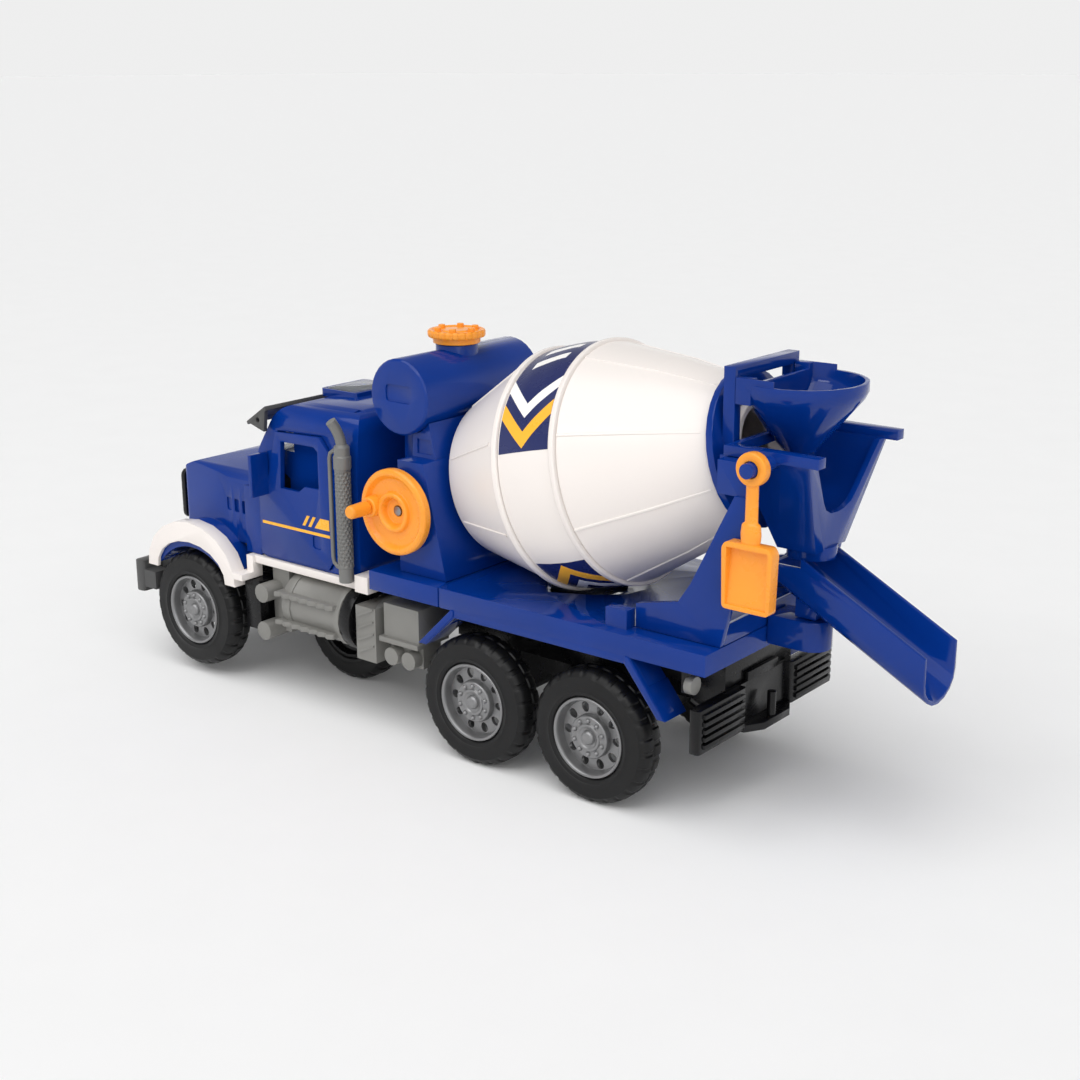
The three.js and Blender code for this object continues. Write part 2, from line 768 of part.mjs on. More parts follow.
// ---- Receiving hopper ----
const hopperOuter = tapered(
  { x: [53.2, 68], y: [-10, 10], z: 96.8 },
  { x: [45.8, 73.2], y: [-26.4, 26.4], z: 131 },
);
const hopperInner = tapered(
  { x: [55.2, 66.2], y: [-8, 8], z: 98.6 },
  { x: [47.3, 71.4], y: [-24.8, 24.8], z: 134.1 },
);
const vCut = plateX(
  [
    [-21.5, 131.5],
    [-11.4, 115.5],
    [-8.5, 112],
    [-4.5, 110.2],
    [0, 109.8],
    [4.5, 110.2],
    [8.5, 112],
    [11.4, 115.5],
    [21.5, 131.5],
    [21.5, 140],
    [-21.5, 140],
  ],
  66,
  80,
);
const rail = box(43, 78, -29, -24.4, 130.6, 134);
const peg = rodY(60.4, 130.4, -43.4, -26, 2.5, 20);
const hopper = cut(
  join(
    cut(join(cut(hopperOuter, hopperInner), rail, mirrorY(rail)), vCut),
    box(43, 45.6, -27, 27, 130.6, 134),
    peg,
    rodZ(61, 0, 93.2, 97.6, 8.6, 24),
  ),
  rodZ(61, 0, 90, 100, 6.8, 20),
  rodX(40, 53, 0, 126, 15, 28).intersect(box(45.7, 55, -20, 20, 100, 131.2)),
);
part("receiving_hopper", hopper, "blue");

// ---- Shovel hanging on the hopper's peg ----
const SHOVEL_X = 60.4;
const SHOVEL_Z = 130.4;
const shovelRing = turned(
  [
    [2.9, -40.9],
    [5.0, -40.9],
    [5.7, -40.2],
    [5.7, -37.6],
    [5.0, -36.9],
    [2.9, -36.9],
    [2.9, -40.9],
  ],
  at(SHOVEL_X, 0, SHOVEL_Z),
  AXIS_Y,
  28,
);
const shovelPan = cut(
  plateY(
    [
      [SHOVEL_X - 8.8, 83.4],
      [SHOVEL_X + 8.8, 83.4],
      [SHOVEL_X + 9.4, 104],
      [SHOVEL_X + 8, 106],
      [SHOVEL_X - 8, 106],
      [SHOVEL_X - 9.4, 104],
    ],
    -41.4,
    -36.9,
  ),
  plateY(
    [
      [SHOVEL_X - 7.2, 85],
      [SHOVEL_X + 7.2, 85],
      [SHOVEL_X + 7.7, 103.2],
      [SHOVEL_X + 6.8, 104.2],
      [SHOVEL_X - 6.8, 104.2],
      [SHOVEL_X - 7.7, 103.2],
    ],
    -42,
    -38.4,
  ),
);
const shovel = join(
  shovelRing,
  box(SHOVEL_X - 2.4, SHOVEL_X + 2.4, -40.5, -37.3, 111, 125.4),
  plateY(roundedRect(SHOVEL_X - 3.5, SHOVEL_X + 3.5, 104.6, 112.4, 1, 2), -41.2, -36.9),
  shovelPan,
);
part("shovel", shovel, "orange");

// ---- Chute and its base ----
const chuteBase = cut(
  join(rodZ(CHUTE_PIVOT_X, 0, 60.5, 71.3, 7, 32), box(48.7, CHUTE_PIVOT_X, -7, 7, 60.5, 71.3)),
  rodZ(CHUTE_PIVOT_X, 0, 66, 80, 2.6, 20),
);
part("chute_base", chuteBase, "blue");

const CHUTE_SLOPE = 27.9;
function chuteSection(halfWidth, top, straight) {
  const points = [[halfWidth, top]];
  const r = halfWidth - 1.5;
  for (let i = 0; i <= 8; i++) {
    const t = (Math.PI * i) / 8;
    points.push([halfWidth * Math.cos(t), top - straight - r * 0.78 * Math.sin(t)]);
  }
  points.push([-halfWidth, top]);
  return points;
}
// The trough slopes down to the rear; its head lies under the hopper's spout.
const CHUTE_HEAD_X = 51.5;
const CHUTE_TIP_X = 110;
const chuteRun = (halfWidth, top, straight, from, to) =>
  moved(plateX(chuteSection(halfWidth, top, straight), from, to).rotate([0, CHUTE_SLOPE, 0]), 63.5, 0, 94.6);
const trough = cut(
  chuteRun(12, 0, 8.5, -25, 70).intersect(box(CHUTE_HEAD_X, CHUTE_TIP_X, -14, 14, 40, 96.4)),
  chuteRun(10.4, 2, 10.4, -25, 75).intersect(box(CHUTE_HEAD_X + 1.6, 130, -14, 14, 40, 130)),
  box(40, 63.5, -14, 14, 91.6, 110),
);
const chute = join(
  trough,
  box(58, 66, -4.5, 4.5, 71.7, 80).subtract(chuteRun(10.4, 2, 10.4, -25, 75)),
  rodZ(CHUTE_PIVOT_X, 0, 66.6, 72, 2.5, 16),
);
part("chute", chute, "blue");

// ---- Cab and bonnet ----
const CAB_BACK = -118.5;
const CAB_HALF = 36;
const cabSide = (d) => [
  [-176.3 + d, 57.6 + d],
  [-176.3 + d, 100 - d * 0.3],
  [-166.5 + d * 1.15, 117.5 - d * 0.4],
  [-163 + d, 120.8 - d],
  [-156 + d, 123.2 - d],
  [-140, 124.4 - d],
  [-126, 124.2 - d],
  [-121 - d * 0.5, 122.6 - d],
  [CAB_BACK - d, 118 - d * 0.4],
  [CAB_BACK - d, 57.6 + d],
];
const cabFront = (d) => [
  [CAB_HALF - d, 50],
  [CAB_HALF - d, 104],
  [34.6 - d, 117 - d * 0.2],
  [32.6 - d, 121.4 - d * 0.6],
  [28 - d, 123.4 - d],
  [16, 124.4 - d],
  [0, 124.7 - d],
  [-16, 124.4 - d],
  [-28 + d, 123.4 - d],
  [-32.6 + d, 121.4 - d * 0.6],
  [-34.6 + d, 117 - d * 0.2],
  [-CAB_HALF + d, 104],
  [-CAB_HALF + d, 50],
];
const cabOuter = plateY(cabSide(0), -40, 40).intersect(plateX(cabFront(0), -190, -110));
const cabInner = plateY(cabSide(1.8), -40, 40).intersect(plateX(cabFront(1.8), -190, -110));

const bonnetSide = (d) => [
  [-232 + d, 60 - 3 * d],
  [-232 + d, 83.5 - d],
  [-229.5 + d, 87 - d],
  [-222, 90 - d],
  [-200, 95.6 - d],
  [-175, 100.6 - d],
  [-175, 60 - 3 * d],
];
const bonnetFront = (d) => [
  [34 - d, 55],
  [34 - d, 85.4 - d],
  [32 - d, 88.6 - d],
  [26, 91.6 - d],
  [14, 97 - d],
  [0, 100.4 - d],
  [-14, 97 - d],
  [-26, 91.6 - d],
  [-32 + d, 88.6 - d],
  [-34 + d, 85.4 - d],
  [-34 + d, 55],
];
const bonnetPlan = (d) => [
  [-232 + d, 27 - d],
  [-230 + d, 29.6 - d],
  [-190, 34 - d],
  [-175, 34 - d],
  [-175, -34 + d],
  [-190, -34 + d],
  [-230 + d, -29.6 + d],
  [-232 + d, -27 + d],
];
const bonnetOuter = plateY(bonnetSide(0), -40, 40)
  .intersect(plateX(bonnetFront(0), -232, -175))
  .intersect(plateZ(bonnetPlan(0), 50, 110));
const bonnetInner = plateY(bonnetSide(2), -40, 40)
  .intersect(plateX(bonnetFront(2), -230, -177.2))
  .intersect(plateZ(bonnetPlan(2), 40, 110));

const archOutline = (grow) => {
  const points = [];
  for (let i = 0; i <= 10; i++) {
    const t = THREE.MathUtils.degToRad(-4 + (188 * i) / 10);
    points.push([FRONT_X + 0.2 + (27 + grow) * Math.cos(t), 44.5 + (21.8 + grow) * Math.sin(t)]);
  }
  return points;
};
const wheelWell = (r) => rodY(FRONT_X, FRONT_AXLE_Z, -60, 60, r, 40);
const fender = plateY(archOutline(0), -43.5, -28);
const cowlSide = box(-185, -176, -36, -33, 57.6, 86);
const ventCuts = [];
for (const side of [-1, 1]) {
  for (const x of [-199.6, -194.4, -189.2])
    ventCuts.push(box(x, x + 3.2, side * 34.5 - 2.2, side * 34.5 + 2.2, 72.6, 78.2));
}

const doorOutline = (g) => [
  [-174.6 + g, 58.8 + g],
  [-174.6 + g, 87 - g],
  [-168.4 + g, 93],
  [-163.4 + g, 111.6 - g],
  [-138.6 - g, 112.6 - g],
  [-132.8 - g, 106.6 - g],
  [-132.8 - g, 62.6 + g],
  [-135.6 - g, 58.8 + g],
];
const windowOutline = [
  [-161.6, 88.6],
  [-160.4, 108],
  [-141.6, 108.4],
  [-139.4, 106.6],
  [-139.4, 91.4],
  [-147.5, 91.2],
  [-151, 88.6],
];
const windscreenOpening = box(-181, -160, -30.5, 30.5, 102.5, 115.8);
const headlightPocket = box(-245, -230.7, -42.5, -34.9, 46.7, 55.8);
const cabShell = cut(
  join(
    cut(
      join(cabOuter, bonnetOuter, cowlSide, mirrorY(cowlSide), fender, mirrorY(fender)),
      cabInner,
      bonnetInner,
      wheelWell(27.6),
      box(-250, -100, -50, 50, 30, 46),
      box(-240, -177, -30, 30, 40, 60),
    ),
    // raised frame round the roof light
    cut(
      plateZ(roundedRect(-161.6, -141, -12.6, 12.6, 2, 2), 122.8, 126),
      plateZ(roundedRect(-160.2, -142.4, -11.2, 11.2, 1.4, 2), 124.9, 130),
    ),
  ),
  plateY(doorOutline(-0.3), -50, -30),
  plateY(doorOutline(-0.3), 30, 50),
  windscreenOpening,
  headlightPocket,
  mirrorY(headlightPocket),
  ventCuts,
  box(-126, -122, -32, -26, 122.8, 127),
  box(-126, -122, 26, 32, 122.8, 127),
);
part("cab_shell", cabShell, "blue");

const door = cut(
  join(
    plateY(doorOutline(0.0), -36.9, -34.6),
    // mirror plate standing out at the front edge of the door
    box(-170.6, -168.8, -45.6, -36.5, 85, 102.5),
  ),
  plateY(windowOutline, -40, -30),
  plateY(roundedRect(-144, -139, 66.5, 72, 0.8, 1), -37.5, -36.2),
);
pair("door", door, "blue");

const windscreenSide = [
  [-174.5, 102.8],
  [-173.2, 102.8],
  [-166.1, 115.5],
  [-167.4, 115.5],
];
part("windscreen", plateY(windscreenSide, -30.2, 30.2), "clear");
part("roof_light", plateZ(roundedRect(-159.9, -142.7, -10.9, 10.9, 1.2, 2), 125.2, 126.2), "clear");

// ---- White lower trim: sills, front arches and the plate under the cab ----
// The arch's band lies on the outside of the fender and wraps over its edge.
const archInside = archOutline(1.2).map(([x, z]) => [
  FRONT_X + (x - FRONT_X) * 0.78,
  44.5 + (z - 44.5) * 0.62,
]);
const archTrim = cut(
  plateY(archOutline(1.2), -45.3, -39),
  plateY(archOutline(GAP), -43.8, -30),
  plateY(archInside, -50, -30),
);
const sill = join(
  box(-181, -114, -37.6, -31, 54.2, 57.3),
  box(-184.1, -178.4, -45.3, -34, 47.8, 50.4),
  box(-182.2, -178.4, -39, -34, 47.8, 57.3),
  box(-118, -111, -40, -32, 54.2, 61),
);
const whiteTrim = cut(
  join(archTrim, mirrorY(archTrim), sill, mirrorY(sill), box(-178, -112, -32, 32, 54.2, 57.3)),
  box(-250, -100, -50, 50, 30, 44.2),
  headlightPocket,
  mirrorY(headlightPocket),
);
part("white_trim", whiteTrim, "white");

part("grille", join(
  plateX(roundedRect(-28.5, 28.5, 62, 84, 3, 3), -234.6, -232.3),
  [0, 1, 2, 3, 4].map((i) => box(-235.6, -234, -25, 25, 64.4 + i * 3.8, 66.2 + i * 3.8)),
), "black");

part("visor", join(
  plateY(
    [
      [-166.4, 121.9],
      [-177.6, 114.4],
      [-177.0, 113.2],
      [-165.8, 120.4],
    ],
    -39,
    39,
  ),
  plateY([[-177.6, 114.4], [-166.4, 121.4], [-167.6, 111.4]], -39, -37.2),
  plateY([[-177.6, 114.4], [-166.4, 121.4], [-167.6, 111.4]], 37.2, 39),
).subtract(rodY(-171, 115.8, -60, 60, 1.1, 12)), "grey");

// ---- Headlights ----
pair("headlight", join(
  plateX(roundedRect(-42.2, -35.2, 47, 55.5, 1.4, 2), -239.2, -236.4),
  plateX(roundedRect(-41.2, -36.2, 48, 54.5, 1.4, 1), -236.6, -231),
), "clear");

// ---- Cab interior ----
const interior = join(
  box(-174, -121, -33.4, 33.4, 59.8, 62),
  plateY([[-174, 61], [-174, 92], [-168, 94], [-163, 91], [-163, 84], [-168, 80], [-168, 61]], -33.4, 33.4),
  plateY([[-147, 61], [-147, 74], [-129, 72], [-126, 98], [-122, 98], [-122, 61]], -30, 30),
  bar([[-165, -15, 84], [-159.2, -15, 89.8]], 1.5, 8),
);
part("interior", interior, "black");
const COLUMN_TOP = at(-157.2, -15, 91.8);
const columnDir = new THREE.Vector3(0.7, 0, 0.714).normalize();
const spokes = [0, 1, 2].map((i) => {
  const g = new THREE.BoxGeometry(8, 1.2, 1.8).translate(4, 0, 0).rotateY((i * 2 * Math.PI) / 3 + 0.5);
  g.applyQuaternion(new THREE.Quaternion().setFromUnitVectors(AXIS_Y, columnDir));
  g.translate(COLUMN_TOP.x, COLUMN_TOP.y, COLUMN_TOP.z);
  return solid(g);
});
part("steering_wheel", join(
  turned([[7.4, -0.9], [8.6, -0.9], [8.6, 0.9], [7.4, 0.9], [7.4, -0.9]], COLUMN_TOP, columnDir, 18),
  turned([[0, -0.7], [2.6, -0.7], [2.6, 1], [0, 1]], COLUMN_TOP, columnDir, 12),
  spokes,
), "black");

// ---- Exhaust stack with its grab rail ----
const STACK_X = -122;
const STACK_Y = -40.4;
const stackTip = bar([
  [STACK_X, STACK_Y, 111],
  [STACK_X, STACK_Y, 116.5],
  [STACK_X - 0.6, STACK_Y - 1.2, 119.6],
  [STACK_X - 1.6, STACK_Y - 3.2, 122.4],
], 2.1, 10);
const stack = join(
  turned(
    [
      [0, 57.6],
      [2.9, 57.6],
      [2.9, 63.6],
      [3.15, 63.8],
      [3.15, 103.2],
      [3.45, 103.4],
      [3.45, 108],
      [3.1, 112],
      [0, 112],
    ],
    at(STACK_X, STACK_Y, 0),
    AXIS_Z,
    14,
  ),
  stackTip,
  bar([[STACK_X - 2, STACK_Y, 109.6], [STACK_X - 5, STACK_Y, 109.4], [STACK_X - 6.9, STACK_Y, 105.5],
    [STACK_X - 6.9, STACK_Y, 67], [STACK_X - 5, STACK_Y, 63], [STACK_X - 2, STACK_Y, 62.8]], 0.8, 6),
);
pair("exhaust_stack", stack, "grey");

// ---- Grey side unit: fuel tank with treads, air tanks and tool boxes ----
const FUEL_Y = -30;
const FUEL_Z = 40.6;
// A step that runs along X with a toothed outer edge.
function tread(z, x0, x1, out) {
  const pitch = 5;
  const points = [[x0, -36]];
  for (let x = x0; x < x1 - 0.01; x += pitch) {
    points.push([x, out]);
    points.push([Math.min(x + pitch / 2, x1), out + 1.3]);
  }
  points.push([x1, -36]);
  return plateZ(points, z - 1, z + 1);
}
const fuelTank = join(
  rodX(-158, -124.6, FUEL_Y, FUEL_Z, 12.7, 20),
  rodX(-156, -153, FUEL_Y, FUEL_Z, 13.2, 20),
  rodX(-128, -125, FUEL_Y, FUEL_Z, 13.2, 20),
  tread(46, -160, -126, -44.8),
  tread(34, -160, -127, -44.8),
);
const airTanks = join(
  rodY(-170, 43.6, -42.6, -30, 4, 14),
  rodY(-169.6, 27.4, -42.6, -30, 4, 14),
  box(-172, -162.2, -34, -24, 26, 53.8),
);
const boxRibs = [];
for (let i = 0; i < 4; i++) {
  const z = 30 + i * 5;
  boxRibs.push(plateY([[-115, z], [-106.4, z + 4], [-106.4, z + 4.9], [-115, z + 0.9]], -42.6, -41));
}
const toolBoxes = join(
  box(-116, -105.4, -42, -24, 27.6, 49.8),
  boxRibs,
  box(-101.6, -83.4, -41, -24, 38, 53.4),
  box(-102.6, -82.4, -43, -30, 38.2, 40.2),
  box(-101, -84, -38, -28, 29, 39),
  rodY(-97, 32.6, -42.4, -34, 3.6, 14),
  rodY(-88, 32.6, -42.4, -34, 3.6, 14),
);
const spine = box(-172, -84, -26, -16.4, 42, 49);
pair("side_unit", join(fuelTank, airTanks, toolBoxes, spine), "grey");
pair("tank_end", rodX(-124.3, -118.6, FUEL_Y, FUEL_Z, 13.6, 28).subtract(
  box(-126, -117, -26.3, -12, 41.7, 49.3),
  box(-126, -117, -16.4, -10, 20, 60),
), "black");

// ---- Origin: the bottom centre of the bounding box ----
const bounds = new THREE.Box3().setFromObject(group);
group.position.set(-(bounds.min.x + bounds.max.x) / 2, -(bounds.min.y + bounds.max.y) / 2, -bounds.min.z);

export default group;
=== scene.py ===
"""Looks of the toy cement mixer truck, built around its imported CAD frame.

Lengths below are millimetres in the truck's own layout: x = 0 at the rear axle and growing to the rear,
y = 0 in the middle and growing to the right-hand side, z = 0 on the floor. `add_piece` turns them into the
row frame, whose metres the CAD nodes use.
"""
import json
import math

import bmesh
import bpy
from mathutils import Matrix, Vector


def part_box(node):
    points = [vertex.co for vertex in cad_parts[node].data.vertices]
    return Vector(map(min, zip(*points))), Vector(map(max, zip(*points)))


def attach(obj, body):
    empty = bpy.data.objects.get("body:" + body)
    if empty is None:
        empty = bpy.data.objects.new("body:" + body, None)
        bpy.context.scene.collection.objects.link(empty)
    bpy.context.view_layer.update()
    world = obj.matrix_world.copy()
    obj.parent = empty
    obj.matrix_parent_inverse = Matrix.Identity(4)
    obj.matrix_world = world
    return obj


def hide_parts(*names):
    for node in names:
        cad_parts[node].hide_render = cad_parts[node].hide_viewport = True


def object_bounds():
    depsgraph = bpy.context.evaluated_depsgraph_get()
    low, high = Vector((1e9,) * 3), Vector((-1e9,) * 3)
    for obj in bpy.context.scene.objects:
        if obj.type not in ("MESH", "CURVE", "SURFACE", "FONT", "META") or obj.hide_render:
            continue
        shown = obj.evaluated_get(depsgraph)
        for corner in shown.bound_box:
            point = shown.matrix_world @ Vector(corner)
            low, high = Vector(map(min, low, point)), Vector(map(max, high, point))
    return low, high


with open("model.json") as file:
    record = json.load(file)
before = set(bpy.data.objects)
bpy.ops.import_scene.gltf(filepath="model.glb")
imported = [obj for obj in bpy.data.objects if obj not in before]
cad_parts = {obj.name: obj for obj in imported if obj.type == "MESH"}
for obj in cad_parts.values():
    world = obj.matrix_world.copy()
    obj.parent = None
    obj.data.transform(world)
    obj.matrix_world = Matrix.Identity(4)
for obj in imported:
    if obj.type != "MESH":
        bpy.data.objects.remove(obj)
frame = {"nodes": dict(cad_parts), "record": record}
cad_low, cad_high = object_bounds()
NODES = frame["nodes"]

MM = 0.001
TILT = math.radians(13.68)  # the drum's axis, up towards the rear


def middle(node):
    low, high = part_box(node)
    return (low + high) / 2


rear_axle = middle("rear_axle")
ROW_FROM_LAYOUT = Matrix.Translation((rear_axle.x, rear_axle.y, 0)) @ Matrix.Scale(MM, 4)


def layout(node):
    """A CAD node's middle in layout millimetres."""
    return ROW_FROM_LAYOUT.inverted() @ middle(node)


# ---------------------------------------------------------------- materials


def linear(red, green, blue):
    """An sRGB colour, 0 to 255, as linear values for a shader."""
    shares = (red / 255, green / 255, blue / 255)
    return tuple(s / 12.92 if s <= 0.04045 else ((s + 0.055) / 1.055) ** 2.4 for s in shares)


def new_node(tree, kind, **inputs):
    """A shader node with its inputs set; an underscore in an input's name stands for a space."""
    made = tree.nodes.new(kind)
    for key, value in inputs.items():
        made.inputs[key.replace("_", " ")].default_value = value
    return made


def make_material(
    name, colour, gloss, mottle=0.05, grain=700.0, grain_depth=0.02, metallic=0.0, specular=0.5
):
    """A moulded surface: soft colour clouds, patchy gloss and a fine moulded grain.

    mottle is the share by which the clouds change the colour, gloss the (lowest, highest) roughness, grain
    the number of grains to a metre, and grain_depth their depth in millimetres.
    """
    made = bpy.data.materials.new(name)
    made.use_nodes = True
    tree = made.node_tree
    shader = tree.nodes["Principled BSDF"]
    shader.inputs["Metallic"].default_value = metallic
    shader.inputs["Specular IOR Level"].default_value = specular
    place = tree.nodes.new("ShaderNodeTexCoord")

    clouds = new_node(tree, "ShaderNodeTexNoise", Scale=28.0, Detail=4.0, Roughness=0.55)
    tree.links.new(place.outputs["Object"], clouds.inputs["Vector"])
    ramp = tree.nodes.new("ShaderNodeValToRGB")
    for stop, position, share in zip(ramp.color_ramp.elements, (0.3, 0.7), (1 - mottle, 1 + mottle)):
        stop.position = position
        stop.color = (*(min(1.0, c * share) for c in colour), 1.0)
    tree.links.new(clouds.outputs["Fac"], ramp.inputs["Fac"])
    tree.links.new(ramp.outputs["Color"], shader.inputs["Base Color"])

    wear = new_node(tree, "ShaderNodeTexNoise", Scale=90.0, Detail=6.0, Roughness=0.6)
    tree.links.new(place.outputs["Object"], wear.inputs["Vector"])
    low, high = gloss
    spread = new_node(tree, "ShaderNodeMapRange", From_Min=0.35, From_Max=0.65, To_Min=low, To_Max=high)
    tree.links.new(wear.outputs["Fac"], spread.inputs["Value"])
    tree.links.new(spread.outputs["Result"], shader.inputs["Roughness"])

    grains = new_node(tree, "ShaderNodeTexNoise", Scale=grain, Detail=3.0, Roughness=0.5)
    tree.links.new(place.outputs["Object"], grains.inputs["Vector"])
    bump = new_node(tree, "ShaderNodeBump", Strength=1.0, Distance=grain_depth * MM)
    tree.links.new(grains.outputs["Fac"], bump.inputs["Height"])
    tree.links.new(bump.outputs["Normal"], shader.inputs["Normal"])
    return made


def make_clear(name, colour, roughness):
    """Clear moulded plastic."""
    made = make_material(name, colour, (roughness, roughness + 0.05), mottle=0.01, grain_depth=0.002)
    shader = made.node_tree.nodes["Principled BSDF"]
    shader.inputs["Transmission Weight"].default_value = 0.92
    shader.inputs["IOR"].default_value = 1.4
    return made


BLUE = make_material(
    "blue_plastic",
    linear(4, 49, 132),
    gloss=(0.06, 0.14),
    mottle=0.08,
    grain=420,
    grain_depth=0.006,
    specular=0.32,
)
WHITE = make_material(
    "white_plastic",
    linear(238, 231, 226),
    gloss=(0.24, 0.27),
    mottle=0.006,
    grain=260,
    grain_depth=0.002,
    specular=0.35,
)
ORANGE = make_material(
    "orange_plastic", linear(252, 158, 44), gloss=(0.22, 0.34), grain=520, grain_depth=0.01
)
GREY = make_material(
    "grey_plastic", linear(132, 131, 127), gloss=(0.36, 0.5), mottle=0.08, grain=1500, metallic=0.25
)
DARK_GREY = make_material("dark_grey_plastic", linear(72, 72, 72), gloss=(0.34, 0.48), grain=1500)
STACK_GREY = make_material(
    "stack_grey_plastic", linear(118, 118, 116), gloss=(0.34, 0.46), mottle=0.1, grain=1500, metallic=0.2
)
BLACK = make_material(
    "black_plastic", linear(12, 12, 14), gloss=(0.2, 0.34), mottle=0.15, grain=1300, specular=0.3
)
RUBBER = make_material(
    "tyre_plastic",
    linear(15, 15, 16),
    gloss=(0.36, 0.5),
    mottle=0.2,
    grain=1100,
    grain_depth=0.03,
    specular=0.3,
)
SILVER = make_material(
    "silver_paint",
    linear(136, 136, 137),
    gloss=(0.28, 0.42),
    mottle=0.08,
    grain=1800,
    grain_depth=0.012,
    metallic=0.7,
)
STEEL = make_material(
    "drawn_steel", linear(150, 152, 156), gloss=(0.25, 0.4), grain=1600, grain_depth=0.01, metallic=1.0
)
FILM_GLOSS = (0.2, 0.32)
NAVY_FILM = make_material(
    "navy_film", linear(28, 38, 92), FILM_GLOSS, mottle=0.08, grain=380, grain_depth=0.01
)
YELLOW_FILM = make_material("yellow_film", linear(255, 184, 50), FILM_GLOSS, mottle=0.03, grain_depth=0.005)
WHITE_FILM = make_material("white_film", linear(250, 248, 244), FILM_GLOSS, mottle=0.01, grain_depth=0.005)
CLEAR = make_clear("clear_plastic", linear(236, 240, 244), 0.05)

SLOT_MATERIALS = {
    "blue_plastic": BLUE,
    "white_plastic": WHITE,
    "orange_plastic": ORANGE,
    "grey_plastic": GREY,
    "black_plastic": BLACK,
    "tyre": RUBBER,
    "silver_plastic": SILVER,
    "clear_plastic": CLEAR,
    "steel": STEEL,
}


# ---------------------------------------------------------------- mesh helpers
# A shape is (points, faces): points in layout millimetres, and faces as tuples of point numbers.


def combine(*shapes):
    """Several shapes as one, without joining their surfaces."""
    points, faces = [], []
    for more_points, more_faces in shapes:
        start = len(points)
        points += more_points
        faces += [tuple(i + start for i in face) for face in more_faces]
    return points, faces


def changed(shape, matrix):
    points, faces = shape
    return [matrix @ Vector(p) for p in points], faces


def mirrored(shape):
    """The same shape on the other side of the truck, faces still outwards."""
    points, faces = shape
    return [Vector((p[0], -p[1], p[2])) for p in points], [tuple(reversed(face)) for face in faces]


def fillet(profile, radius, steps=4, closed=False):
    """Rounds the corners of a profile, as far as the lengths beside each corner allow."""
    count = len(profile)
    rounded = []
    for i, corner in enumerate(profile):
        if not closed and i in (0, count - 1):
            rounded.append(tuple(corner))
            continue
        here = Vector(corner)
        before, after = Vector(profile[i - 1]), Vector(profile[(i + 1) % count])
        back, ahead = before - here, after - here
        reach = min(radius, back.length * 0.45, ahead.length * 0.45)
        if reach < 0.02:
            rounded.append(tuple(corner))
            continue
        start, end = here + back.normalized() * reach, here + ahead.normalized() * reach
        for k in range(steps + 1):
            t = k / steps
            rounded.append(tuple(start * (1 - t) ** 2 + here * 2 * t * (1 - t) + end * t * t))
    return rounded


def rectangle(a0, a1, b0, b1):
    """The four corners of a rectangle, in the order that an outline takes."""
    return [(a0, b0), (a1, b0), (a1, b1), (a0, b1)]


def grid_faces(rows, columns, wrap=False):
    """Four-sided faces over rows of points; with wrap, the last column joins the first."""
    faces = []
    for i in range(rows - 1):
        here, above = i * columns, (i + 1) * columns
        for j in range(columns if wrap else columns - 1):
            after = (j + 1) % columns
            faces.append((here + j, here + after, above + after, above + j))
    return faces


def revolve(profile, at, axis, segments, side=None, bend=None):
    """Turns a profile of (radius, distance along the axis) about the line through `at`.

    bend(radius, distance, angle) may change the radius, for lugs and dimples. Points on the axis are shared
    by the whole turn, so the shape closes there.
    """
    axis = Vector(axis).normalized()
    across = Vector(side).normalized() if side else axis.orthogonal().normalized()
    up = axis.cross(across)
    points, rings = [], []
    for radius, distance in profile:
        centre = Vector(at) + axis * distance
        if radius < 1e-6:
            rings.append([len(points)] * segments)
            points.append(centre)
            continue
        rings.append([len(points) + k for k in range(segments)])
        for k in range(segments):
            angle = 2 * math.pi * k / segments
            r = bend(radius, distance, angle) if bend else radius
            points.append(centre + (across * math.cos(angle) + up * math.sin(angle)) * r)
    faces = []
    for low, high in zip(rings, rings[1:]):
        for k in range(segments):
            n = (k + 1) % segments
            face = dict.fromkeys((low[k], low[n], high[n], high[k]))
            if len(face) > 2:
                faces.append(tuple(face))
    return points, faces


def prism(outline, low, high, along="y"):
    """An outline in the other two axes, in their own order, filled between two distances along one axis."""
    where = {
        "x": lambda a, b, t: Vector((t, a, b)),
        "y": lambda a, b, t: Vector((a, t, b)),
        "z": lambda a, b, t: Vector((a, b, t)),
    }[along]
    count = len(outline)
    points = [where(a, b, t) for t in (low, high) for a, b in outline]
    faces = [tuple(range(count)), tuple(range(2 * count - 1, count - 1, -1))]
    faces += [(i, i + count, (i + 1) % count + count, (i + 1) % count) for i in range(count)]
    return points, faces


def tube(route, radius, sides):
    """A round bar along a list of points."""
    route = [Vector(p) for p in route]
    points = []
    side = None
    for i, here in enumerate(route):
        ahead = (route[min(i + 1, len(route) - 1)] - route[max(i - 1, 0)]).normalized()
        if side is None:
            side = ahead.orthogonal().normalized()
        else:
            side = (side - ahead * side.dot(ahead)).normalized()
        up = ahead.cross(side)
        for k in range(sides):
            angle = 2 * math.pi * k / sides
            points.append(here + (side * math.cos(angle) + up * math.sin(angle)) * radius)
    faces = grid_faces(len(route), sides, wrap=True)
    faces += [tuple(range(sides)), tuple(range(len(points) - 1, len(points) - 1 - sides, -1))]
    return points, faces


SMOOTH_BELOW = math.radians(32)
ROUND_ABOVE = math.radians(38)
FLAT_BELOW = math.radians(0.6)
EDGE_SEGMENTS = 2
WELD_DISTANCE = 0.01


